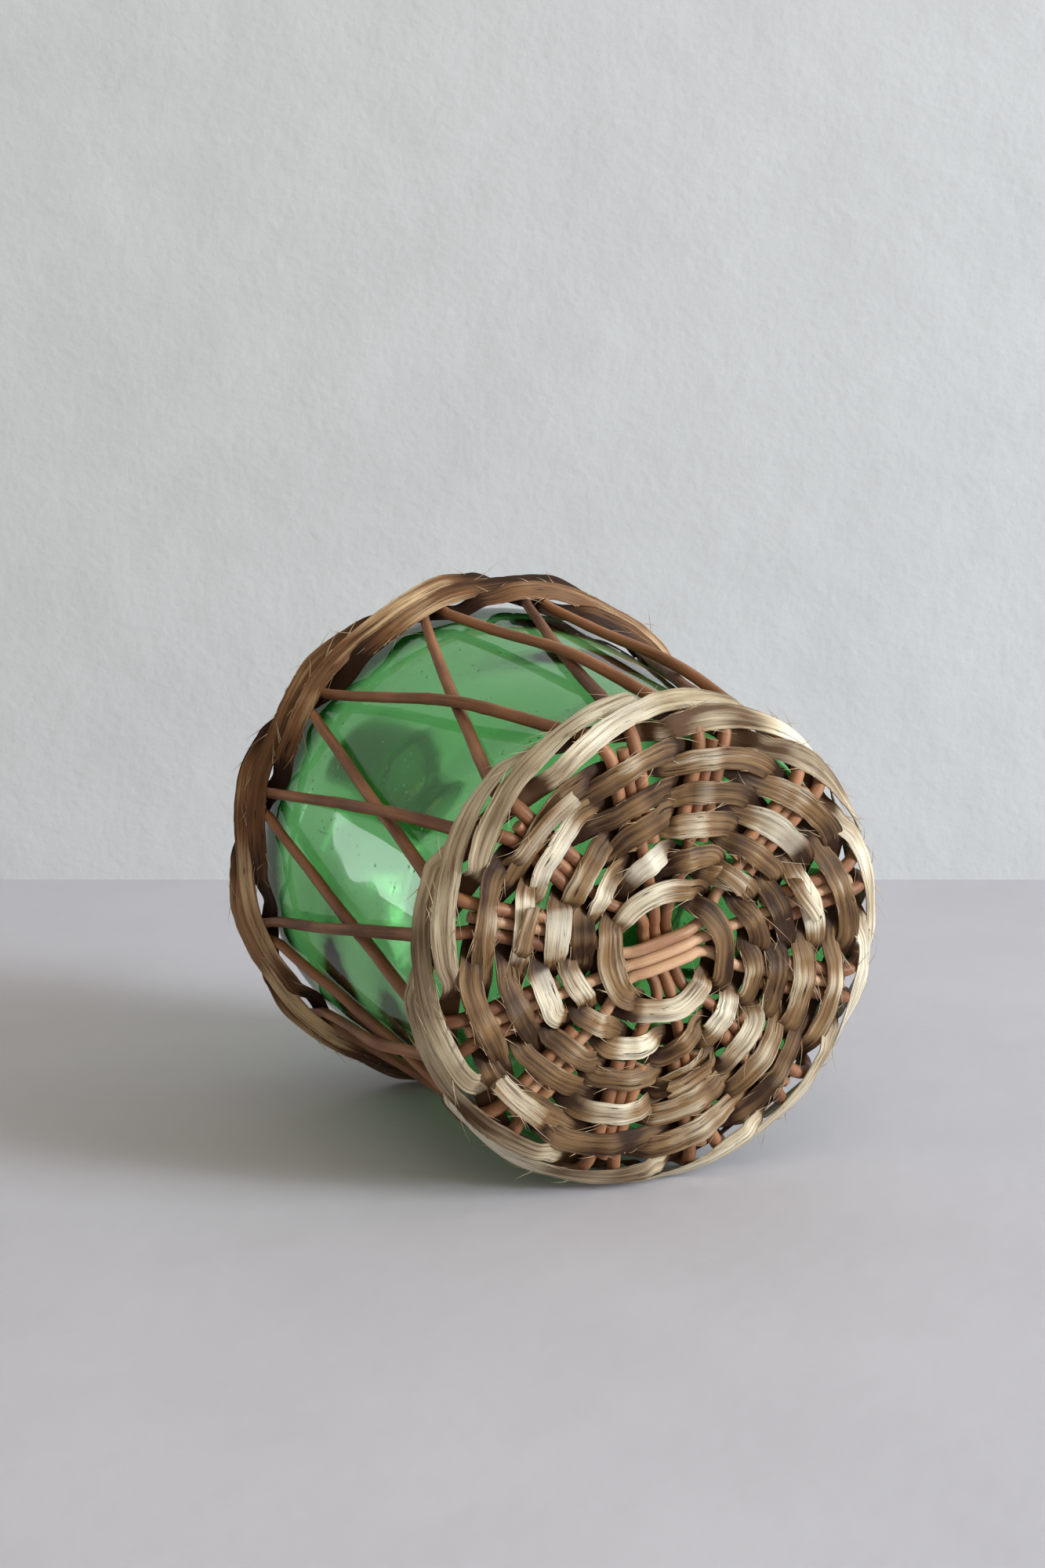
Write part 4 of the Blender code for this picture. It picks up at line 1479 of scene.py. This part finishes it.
@dataclass
class BaseWeave:
    """Five rounds of two strips twisted between the groups of the base, and a few spliced ends.

    A tail has the number of its round, the group that it lies over and its place across the round.
    """

    strip_width: float = 0.00605
    wide: float = 0.0092
    narrow: float = 0.0076
    first_round: float = 0.0238
    rounds: int = 5
    strips: str = "ab"
    tie_half_angle: float = 34.0
    stick_rest: float = 0.0015
    sway: float = 0.0007
    sway_turn: float = 2.1
    seam_step: int = 3
    tails: tuple = ((4, 7, 0.2), (3, 6, -0.3), (2, 2, 0.3), (3, 11, -0.2), (1, 10, 0.1), (4, 4, 0.3))
    tail_start: float = 0.3
    tail_reach: float = 0.5
    seed: int = 40
    tail_seed: int = 20
    tail_seed_step: int = 7

    def stops(self, number: int, radius: float) -> list[tuple[float, float]]:
        """Where the strips of a round lie over or under the sticks and stakes.

        Args:
            number: The round, counted from the middle.
            radius: Its distance from the axis.

        Returns:
            Start and end angle of each group.
        """
        if number == 0:
            arms = [BASKETRY.slath_angle + 90.0 * arm for arm in range(4)]
            return [(arm - self.tie_half_angle, arm + self.tie_half_angle) for arm in arms]
        half_width = BASKETRY.rod_radius + BASKETRY.clearance
        half_width += self.stick_rest if number == 1 else BASKETRY.rod_spacing
        half_angle = math.degrees(half_width / radius)
        return [(angle - half_angle, angle + half_angle) for angle in BASKETRY.groups]

    def build(self) -> None:
        """Weave every round."""
        lane_width = self.strip_width + BASKETRY.clearance
        for number in range(self.rounds):
            radius = self.first_round + 2 * lane_width * number

            def place(angle: Points, lane: Points, level: Points) -> tuple[Points, Points]:
                """Lay a strip flat in the base.

                Args:
                    angle: Angles along the strip.
                    lane: Its places across the round.
                    level: How far it lies on the outer side of the rods.

                Returns:
                    Its middle and the direction of its face.
                """
                sway = self.sway * np.sin(np.radians(2 * angle) + self.sway_turn * number)
                middle = around(angle, radius + lane + sway, BASKETRY.rod_level - level * BASKETRY.lift)
                return middle, np.tile([0.0, 0.0, -1.0], (len(angle), 1))

            weaver = StripWeaver(len(self.strips), lane_width, self.stops(number, radius), STRAW, Slot.STRAW,
                                 self.wide, self.narrow, under_level=-0.85, slant_spread=0.27, overlap=0.22,
                                 rng=np.random.default_rng(self.seed + number))
            for strand, letter in enumerate(self.strips):
                name = f"base_round_{number + 1}_strip_{letter}"
                weaver.lay(name, strand, number + self.seam_step * strand, place, radius, 2 * number + strand)
            for count, (_, group, lane) in enumerate(item for item in self.tails if item[0] == number):
                reach = (self.tail_start, weaver.rng.uniform(0.0, self.tail_reach))
                tail = weaver.tail(group, lane * lane_width, reach)
                seed = self.tail_seed + self.tail_seed_step * number + count
                weaver.shape(f"spliced_end_{number + 1}_{count + 1}", tail, place, radius, seed)


@dataclass
class Wale:
    """Three strips twisted round the stakes along a line of the basket.

    The line gives radius, height and outward direction from a distance along it, and start is where on it the
    strips begin. The pair holds the two stakes of a group, as angles from the group's own.
    """

    name: str
    line: Callable
    start: float
    pair: tuple
    rest: float
    radius: float
    finish: StripFinish
    slot: Slot
    turn: float
    droop: float
    closeness: float
    over_level: float
    between: float
    # Painted shade of the strips in the gaps between pairs of stakes
    between_shade: float
    seed: int
    strips: int = 3
    wide: float = 0.0088
    narrow: float = 0.0080
    tightness: float = 0.20

    @classmethod
    def rim(cls) -> "Wale":
        """The pale rim round the corner from the base to the side.

        Returns:
            The wale, ready to be woven.
        """
        return cls(name="rim_strip", line=BASKETRY.rim_line, start=BASKETRY.rim_start - 0.0010,
                   pair=BASKETRY.feet, rest=0.0038, radius=float(BASKETRY.glass_side(BASKETRY.rim_exit)),
                   finish=RIM_STRAW, slot=Slot.STRAW, turn=17.0, droop=0.0, closeness=1.0, over_level=1.05,
                   between=0.35, between_shade=0.40, seed=60)

    @classmethod
    def band(cls) -> "Wale":
        """The brown band round the shoulder, drawn in a little tighter.

        Returns:
            The wale, ready to be woven.
        """
        return cls(name="band_strip", line=BASKETRY.band_line, start=-0.0022,
                   pair=BASKETRY.heads, rest=0.0013, radius=float(BASKETRY.stake_radius(BASKETRY.band_foot)),
                   finish=RUSSET, slot=Slot.RUSSET, turn=26.0, droop=0.0006, closeness=0.82, over_level=1.1,
                   between=0.75, between_shade=0.22, seed=80)

    def stops(self) -> list[tuple[float, float]]:
        """Where the strips lie over or under the pairs of stakes.

        Returns:
            Start and end angle of each pair.
        """
        middle = sum(self.pair) / 2
        reach = BASKETRY.rod_radius + BASKETRY.clearance + self.rest
        half_angle = abs(self.pair[0] - self.pair[1]) / 2 + math.degrees(reach / self.radius)
        return [(angle + middle - half_angle, angle + middle + half_angle) for angle in BASKETRY.groups]

    def gap(self, angle: Points) -> tuple[Points, Points]:
        """How far along the gap between two groups an angle lies, and how deep a chord across that gap is.

        Args:
            angle: Angles along the strip.

        Returns:
            The share of the gap that is passed, which is 0 over the groups, and the chord's depth.
        """
        starts, ends = np.array(self.stops()).T
        turned = angle % 360.0
        passed = np.searchsorted(ends, turned, side="right")
        last = np.where(passed > 0, ends[passed - 1], ends[-1] - 360.0)
        ahead = np.where(passed < len(starts), starts[passed % len(starts)], starts[0] + 360.0)
        share = np.clip((turned - last) / (ahead - last), 0.0, 1.0)
        return share, self.radius * (1.0 - np.cos(np.radians(ahead - last) / 2))

    def place(self, angle: Points, lane: Points, level: Points) -> tuple[Points, Points]:
        """Lay a strip flat against the stakes, pulled taut between them.

        Args:
            angle: Angles along the strip.
            lane: Its places across the wale.
            level: How far it lies on the outer side of the stakes.

        Returns:
            Its middle and the direction of its face.
        """
        share, depth = self.gap(angle)
        bow = 4.0 * share * (1.0 - share)
        radius, height, out, up = self.line(self.start + BASKETRY.wale_reach / 2 + lane - self.droop * bow)
        radius = radius - self.tightness * depth * bow * np.maximum(out, 0.0)
        lift = (level * BASKETRY.lift)[:, None]
        middle = around(angle, radius, height) + self.facing(angle, out, up) * lift
        cosine, sine = math.cos(math.radians(self.turn)), math.sin(math.radians(self.turn))
        return middle, self.facing(angle, out * cosine + up * sine, up * cosine - out * sine)

    @staticmethod
    def facing(angle: Points, out: Points, up: Points) -> Points:
        """Directions round the axis.

        Args:
            angle: Their angles.
            out: Their parts away from the axis.
            up: Their upward parts.

        Returns:
            One direction for each angle.
        """
        face = unit(angle) * out[:, None]
        face[:, 2] = up
        return face

    def build(self) -> None:
        """Weave the strips."""
        lane_width = self.closeness * (BASKETRY.wale_width + BASKETRY.clearance)
        # The strips get painted shade where they turn down at the stakes and in the gaps
        weaver = StripWeaver(self.strips, lane_width, self.stops(), self.finish, self.slot, self.wide,
                             self.narrow, bulge=0.0, sag=0.0, looseness=0.05, slant_spread=0.15,
                             slip=0.05, edge_painted_shade=0.08, crown=0.00012, over_level=self.over_level,
                             between=self.between, between_shade=self.between_shade,
                             rng=np.random.default_rng(self.seed))
        for strand in range(self.strips):
            name = f"{self.name}_{strand + 1}"
            weaver.lay(name, strand, strand, self.place, self.radius, self.seed + strand)


@dataclass
class LooseFibres:
    """Thin fibres that stand off the edges of the strips."""

    per_metre: float = 210.0
    end_margin: int = 3
    least_level: float = 0.2
    root_place: float = 0.93
    rise: tuple = (0.05, 0.6)
    sideways: tuple = (-0.1, 0.6)
    lengths: tuple = (0.004, 0.016)
    shortening: tuple = (0.4, 1.0)
    bend: float = 0.35
    droop: float = 0.105
    radius: float = 0.00017
    tip_taper: float = 0.85
    places: int = 5
    floor_margin: float = 0.004
    starts: list = field(default_factory=list)
    rng: np.random.Generator = field(default_factory=lambda: np.random.default_rng(71))

    def remember(self, run: Run, half: Points, level: Points) -> None:
        """Pick places on a strip's edges where fibres stand off.

        Args:
            run: The strip's run.
            half: Half of the strip's width along it.
            level: How far out the strip lies along it.
        """
        tangent = run.tangent
        count = int(run.along[-1] * self.per_metre)
        for index in self.rng.integers(self.end_margin, len(half) - self.end_margin, count):
            if level[index] < self.least_level:
                continue
            side = self.rng.choice([-1.0, 1.0])
            root = run.middle[index] + run.across[index] * side * half[index] * self.root_place
            way = tangent[index] * self.rng.choice([-1.0, 1.0])
            way = way + run.off[index] * self.rng.uniform(*self.rise)
            way = way + run.across[index] * side * self.rng.uniform(*self.sideways)
            self.starts.append((root, normalised(way), run.off[index]))

    def build(self) -> None:
        """Draw every fibre as a thin tapered spline and turn them into one mesh."""
        Bench.clear_selection()
        bpy.ops.curve.primitive_nurbs_path_add()
        piece = bpy.context.object
        piece.name = "loose_fibres"
        curve = piece.data
        curve.splines.clear()
        curve.bevel_depth = self.radius
        curve.bevel_resolution = 0
        curve.use_fill_caps = True
        shares = np.linspace(0.0, 1.0, self.places)
        for root, way, off in self.starts:
            length = self.rng.uniform(*self.lengths) * self.rng.uniform(*self.shortening)
            aside = normalised(np.cross(way, self.rng.normal(size=3)))
            pull = aside * self.rng.uniform(-self.bend, self.bend) - off * self.droop
            line = RESTING.lay(root + length * (shares[:, None] * way + shares[:, None] ** 2 * pull))
            if line[:, 2].min() < self.floor_margin:
                continue
            spline = curve.splines.new("POLY")
            spline.points.add(len(line) - 1)
            spline.points.foreach_set("co", np.concatenate([line, np.ones((len(line), 1))], axis=1).ravel())
            spline.points.foreach_set("radius", 1.0 - self.tip_taper * shares)
        piece.location = (0.0, 0.0, 0.0)
        bpy.ops.object.convert(target="MESH")
        piece = bpy.context.object
        piece.data.materials.clear()
        piece.data.materials.append(FibreFinish().make())
        hand_over(piece, Body.DEMIJOHN, Slot.STRAW)


# Bottle and cork

@dataclass
class GlassBottle:
    """The blown bottle: a round section spun about its axis, inside and out.

    Each ripple of the wall has its waves round the bottle, its length up the side, its start and its depth.
    """

    steps: int = 144
    shoulder_rise: float = 0.0640
    foot_ring: float = 0.0056
    punt_depth: float = 0.0060
    neck_length: float = 0.0700
    neck_wall: float = 0.0040
    neck_fillet: float = 0.0110
    bore: float = 0.0130
    lip_projection: float = 0.0035
    lip_height: float = 0.0120
    lip_rounding: float = 0.0025
    wall: float = 0.0032
    base_wall: float = 0.0050
    foot_angle: float = -80.0
    fillet_angle: float = 250.0
    punt_places: int = 10
    heel_places: int = 12
    side_rows: int = 22
    shoulder_places: int = 24
    fillet_places: int = 9
    lip_places: int = 7
    mouth_places: int = 4
    ripples: tuple = ((2, 0.19, 0.4, 0.00045), (3, 0.11, 1.7, 0.00040),
                      (5, 0.07, 3.1, 0.00025), (1, 0.05, 5.0, 0.00020))
    ripple_fades: tuple = (0.02, 0.03)
    seam_merge: float = 0.00001
    smooth_angle: float = 40.0

    @property
    def mouth_height(self) -> float:
        """Height of the top of the lip."""
        return BASKETRY.shoulder_height + self.shoulder_rise + self.neck_length

    @property
    def neck_radius(self) -> float:
        """Outer radius of the neck."""
        return self.bore + self.neck_wall

    @property
    def lip_radius(self) -> float:
        """Outer radius of the lip."""
        return self.neck_radius + self.lip_projection

    @property
    def mouth_ring(self) -> Points:
        """Middle of the flat ring on the lip, at angle 0."""
        inner, outer = self.bore + self.lip_rounding / 2, self.lip_radius - self.lip_rounding
        return np.array([(inner + outer) / 2, 0.0, self.mouth_height])

    @staticmethod
    def arc(centre: tuple, radii: tuple, start: float, end: float, count: int) -> list[tuple[float, float]]:
        """Points along an elliptical arc of the section."""
        turns = np.radians(np.linspace(start, end, count))
        return [(centre[0] + radii[0] * math.cos(turn), centre[1] + radii[1] * math.sin(turn))
                for turn in turns]

    def body_outline(self, inset: float, floor_inset: float) -> list[tuple[float, float]]:
        """Section from the middle of the base to the foot of the neck.

        Args:
            inset: How far it is moved inwards from the outside at the side.
            floor_inset: How far it is moved up at the base.

        Returns:
            Its points, as radius and height.
        """
        floor = BASKETRY.glass_underside + floor_inset
        heel = BASKETRY.heel_radius
        heel_middle = BASKETRY.glass_radius - BASKETRY.side_taper - heel
        foot = heel_middle - self.foot_ring
        points = [(foot * share, floor + self.punt_depth * (1.0 - share * share))
                  for share in np.linspace(0, 1, self.punt_places)]
        centre = (heel_middle, BASKETRY.glass_underside + heel)
        points += self.arc(centre, (heel - inset, heel - floor_inset), self.foot_angle, 0.0, self.heel_places)
        for share in np.linspace(0.0, 1.0, self.side_rows)[1:-1]:
            height = blend(centre[1], BASKETRY.shoulder_height, share)
            points.append((float(BASKETRY.glass_side(height)) - inset, height))
        radii = (BASKETRY.glass_radius - inset, self.shoulder_rise - inset)
        last = math.degrees(math.acos((self.neck_radius + self.neck_fillet) / radii[0]))
        points += self.arc((0.0, BASKETRY.shoulder_height), radii, 0.0, last, self.shoulder_places)
        return points

    def outline(self) -> list[tuple[float, float]]:
        """Whole section: up the inside, over the lip and down the outside.

        Returns:
            Its points, as radius and height.
        """
        inner, outer = self.body_outline(self.wall, self.base_wall), self.body_outline(0.0, 0.0)
        top = outer[-1][1] + self.neck_fillet
        turn = self.neck_fillet + self.neck_wall
        bend = (self.fillet_angle, 180.0, self.fillet_places)
        inner += self.arc((self.bore + turn, top), (turn, top - inner[-1][1]), *bend)
        outer += self.arc((self.neck_radius + self.neck_fillet, top), (self.neck_fillet,) * 2, *bend)
        foot, small = self.mouth_height - self.lip_height, self.lip_rounding
        outer += [(self.neck_radius, foot - small)]
        for height, start in ((foot + small, -90.0), (self.mouth_height - small, 0.0)):
            edge = (self.lip_radius - small, height)
            outer += self.arc(edge, (small,) * 2, start, start + 90.0, self.lip_places)
        centre = (self.bore + small / 2, self.mouth_height - small / 2)
        mouth = self.arc(centre, (small / 2,) * 2, 180.0, 90.0, self.mouth_places)
        return inner + mouth + outer[::-1]

    def ripple(self, points: Points) -> Points:
        """Let the inside of the wall run thick and thin, as blown glass does.

        Args:
            points: The bottle's points in the upright drawing.

        Returns:
            The points, with those on the inside of the body moved a little in or out.
        """
        height = points[:, 2]
        radius = np.linalg.norm(points[:, :2], axis=1)
        turn = np.arctan2(points[:, 1], points[:, 0])
        change = sum(size * np.sin(waves * turn + 2 * math.pi * height / length + start)
                     for waves, length, start, size in self.ripples)
        top = BASKETRY.shoulder_height
        within = (radius < BASKETRY.glass_side(height) - self.wall / 2) & (radius > self.lip_radius)
        at_heel, at_top = self.ripple_fades
        fade = smooth((height - BASKETRY.glass_underside - BASKETRY.heel_radius) / at_heel)
        fade = fade * smooth((top - height) / at_top)
        factor = 1.0 + np.where(within & (height < top), change * fade / np.maximum(radius, self.bore), 0.0)
        moved = points.copy()
        moved[:, :2] *= factor[:, None]
        return moved

    def build(self) -> None:
        """Spin the section, close its seam and hand the bottle over."""
        Bench.clear_selection()
        bpy.ops.mesh.primitive_plane_add()
        piece = bpy.context.object
        piece.name = "green_glass_bottle"
        section = self.outline()
        mesh = bpy.data.meshes.new(piece.name)
        mesh.from_pydata([(radius, 0.0, height) for radius, height in section],
                         [(index, index + 1) for index in range(len(section) - 1)], [])
        piece.data = mesh
        bpy.ops.object.mode_set(mode="EDIT")
        bpy.ops.mesh.select_all(action="SELECT")
        bpy.ops.mesh.spin(steps=self.steps, angle=2 * math.pi, center=(0.0, 0.0, 0.0), axis=(0.0, 0.0, 1.0))
        bpy.ops.mesh.select_all(action="SELECT")
        bpy.ops.mesh.remove_doubles(threshold=self.seam_merge)
        bpy.ops.mesh.normals_make_consistent(inside=False)
        bpy.ops.object.mode_set(mode="OBJECT")
        points = Bench.corners(mesh)
        mesh.vertices.foreach_set("co", RESTING.lay(self.ripple(points)).ravel())
        heights = mesh.attributes.new("height", "FLOAT", "POINT")
        heights.data.foreach_set("value", np.ascontiguousarray(points[:, 2]))
        mesh.update()
        bpy.ops.object.shade_smooth_by_angle(angle=math.radians(self.smooth_angle))
        mesh.materials.append(GlassFinish().make())
        hand_over(piece, Body.DEMIJOHN, Slot.GLASS, "glass_bottle")


@dataclass
class Cork:
    """Tapered cork in the bottle's mouth, with a worn, pitted surface."""

    depth: float = 0.0220
    stand: float = 0.0120
    taper: float = 0.0350
    chamfer: float = 0.0011
    vertices: int = 48
    pit_depth: float = 0.00016
    pit_from: float = 0.004
    smooth_angle: float = 40.0
    rng: np.random.Generator = field(default_factory=lambda: np.random.default_rng(3))

    def build(self, bottle: GlassBottle) -> None:
        """Shape the cork from a cone and hand it over.

        Args:
            bottle: The bottle whose bore the cork fits.
        """
        Bench.clear_selection()
        fit = bottle.bore - BASKETRY.clearance
        low, high = fit - self.taper * self.depth, fit + self.taper * self.stand
        bpy.ops.mesh.primitive_cone_add(vertices=self.vertices, radius1=low, radius2=high,
                                        depth=self.depth + self.stand)
        piece = bpy.context.object
        piece.name = "cork_stopper_worn"
        bpy.ops.object.mode_set(mode="EDIT")
        bpy.ops.mesh.select_all(action="SELECT")
        bpy.ops.mesh.bevel(offset=self.chamfer, segments=3, affect="EDGES", clamp_overlap=True)
        bpy.ops.object.mode_set(mode="OBJECT")
        middle = bottle.mouth_height + (self.stand - self.depth) / 2
        piece.data.transform(Matrix.Translation((0.0, 0.0, middle)))
        self.wear(piece.data)
        bpy.ops.object.shade_smooth_by_angle(angle=math.radians(self.smooth_angle))
        piece.data.materials.append(CorkFinish().make())
        hand_over(piece, Body.CORK, Slot.CORK, "cork_stopper")

    def wear(self, mesh: Mesh) -> None:
        """Roughen the surface inwards a little and lay the cork down with the bottle.

        Args:
            mesh: The cork's mesh, in its place in the upright drawing.
        """
        points = Bench.corners(mesh)
        inward = np.abs(self.rng.normal(0.0, self.pit_depth, len(points)))
        radius = np.maximum(np.linalg.norm(points[:, :2], axis=1), self.pit_from)
        points[:, :2] *= (1.0 - inward / radius)[:, None]
        mesh.vertices.foreach_set("co", RESTING.lay(points).ravel())
        mesh.update()


# Floor, wall, lamps and camera

@dataclass(frozen=True)
class Lamp:
    """One oblong lamp.

    It has its power in watts, its width and height, and its distances to the right, ahead and up from the
    origin, as the camera faces.
    """

    name: str
    power: float
    size: tuple
    place: tuple


@dataclass
class Studio:
    """Plain pale floor and wall, soft light from the right and the photograph's viewpoint."""

    eye: tuple = (-0.4337, -0.9728, 0.3159)
    heading: float = 24.55
    pitch: float = -9.76
    focal: float = 59.4
    wall_distance: float = 1.502
    reach: float = 2.2
    floor: RoomFinish = RoomFinish("pale_floor", (0.553, 0.545, 0.605), 9.0, 0.0012)
    wall: RoomFinish = RoomFinish("pale_wall", (0.548, 0.560, 0.580), 14.0, 0.0025, one_sided=True)
    sky: Colour = (1.0, 0.89, 0.68)
    sky_level: float = 0.51
    dim_side: float = 0.62
    bright_side: float = 1.35
    bright_toward: tuple = (0.8, -0.3, 0.5)
    even_range: float = 0.8
    window_colour: Colour = (0.87, 0.945, 1.0)
    lamps: tuple = (Lamp("window", 130.0, (1.8, 2.2), (4.0, -1.75, 2.2)),
                    Lamp("window_pane", 155.0, (0.7, 1.3), (3.9, -1.7, 0.78)),
                    Lamp("edge_light", 0.22, (0.10, 0.26), (-0.918, 0.40, 0.14)))
    aim_height: float = 0.08
    near_clip: float = 0.01

    def seen(self, right: float, ahead: float, up: float) -> Vector:
        """Step to the right, ahead and up, as the camera faces.

        Args:
            right: How far to the right.
            ahead: How far ahead on the level.
            up: How far up.

        Returns:
            The step.
        """
        turn = math.radians(self.heading)
        rightward = Vector((math.cos(turn), -math.sin(turn), 0.0))
        forward = Vector((math.sin(turn), math.cos(turn), 0.0))
        return rightward * right + forward * ahead + Vector((0.0, 0.0, up))

    def plane(self, finish: RoomFinish, middle: Vector, tilt: float) -> Piece:
        """Set up the floor or the wall.

        Args:
            finish: Its finish, whose name it takes.
            middle: Its middle.
            tilt: Angle in radians by which it stands up.

        Returns:
            The plane.
        """
        Bench.clear_selection()
        bpy.ops.mesh.primitive_plane_add(size=2 * self.reach, location=middle,
                                         rotation=(tilt, 0.0, -math.radians(self.heading)))
        plane = bpy.context.object
        plane.name = finish.name
        plane.data.materials.append(finish.make())
        return plane

    def build_room(self) -> None:
        """Set up the floor and the wall behind the object, both left out of the object."""
        floor = self.plane(self.floor, Vector((0.0, 0.0, 0.0)), 0.0)
        below_eye = Vector((self.eye[0], self.eye[1], 0.0))
        middle = below_eye + self.seen(0.0, self.wall_distance, self.reach)
        wall = self.plane(self.wall, middle, math.pi / 2)

    def build_light(self) -> None:
        """Set the sky, brighter on one side, and hang the lamps."""
        world = bpy.data.worlds.new("soft_room")
        world.use_nodes = True
        tree = world.node_tree
        background = tree.nodes["Background"]
        background.inputs["Color"].default_value = (*self.sky, 1.0)
        place = tree.nodes.new("ShaderNodeTexCoord")
        toward = tree.nodes.new("ShaderNodeVectorMath")
        toward.operation = "DOT_PRODUCT"
        toward.inputs[1].default_value = self.seen(*self.bright_toward).normalized()
        level = tree.nodes.new("ShaderNodeMapRange")
        level.inputs["From Min"].default_value = -self.even_range
        level.inputs["From Max"].default_value = self.even_range
        level.inputs["To Min"].default_value = self.sky_level * self.dim_side
        level.inputs["To Max"].default_value = self.sky_level * self.bright_side
        tree.links.new(place.outputs["Generated"], toward.inputs[0])
        tree.links.new(toward.outputs["Value"], level.inputs["Value"])
        tree.links.new(level.outputs["Result"], background.inputs["Strength"])
        bpy.context.scene.world = world
        for lamp in self.lamps:
            self.hang(lamp)

    def hang(self, lamp: Lamp) -> None:
        """Hang one lamp that faces the object.

        Args:
            lamp: The lamp.
        """
        light = bpy.data.lights.new(lamp.name, "AREA")
        light.shape = "RECTANGLE"
        light.size, light.size_y = lamp.size
        light.energy = lamp.power
        light.color = self.window_colour
        holder = bpy.data.objects.new(lamp.name, light)
        bpy.context.scene.collection.objects.link(holder)
        holder.location = self.seen(*lamp.place)
        aim = Vector((0.0, 0.0, self.aim_height)) - holder.location
        holder.rotation_euler = aim.to_track_quat("-Z", "Y").to_euler()

    def build_camera(self) -> None:
        """Set the camera at the photograph's viewpoint."""
        lens = bpy.data.cameras.new("photograph_view")
        lens.lens = self.focal
        lens.clip_start = self.near_clip
        camera = bpy.data.objects.new("photograph_view", lens)
        bpy.context.scene.collection.objects.link(camera)
        camera.location = self.eye
        camera.rotation_euler = (math.radians(90.0 + self.pitch), 0.0, -math.radians(self.heading))
        bpy.context.scene.camera = camera

    def build(self) -> None:
        """Set the camera, the room and the light."""
        self.build_camera()
        self.build_room()
        self.build_light()
        bpy.context.scene.view_settings.view_transform = "Standard"


BOTTLE = GlassBottle()
RESTING = Resting.from_record(frame["record"], BOTTLE.mouth_ring)
LOOSE_FIBRES = LooseFibres()


def main() -> None:
    """Build the studio, then the demijohn from the glass outwards."""
    logging.basicConfig(level=logging.INFO, format="%(name)s: %(message)s")
    Studio().build()
    BOTTLE.build()
    Cork().build(BOTTLE)
    WillowRods().build()
    BaseWeave().build()
    Wale.rim().build()
    Wale.band().build()
    LOOSE_FIBRES.build()


if __name__ == "__main__":
    main()
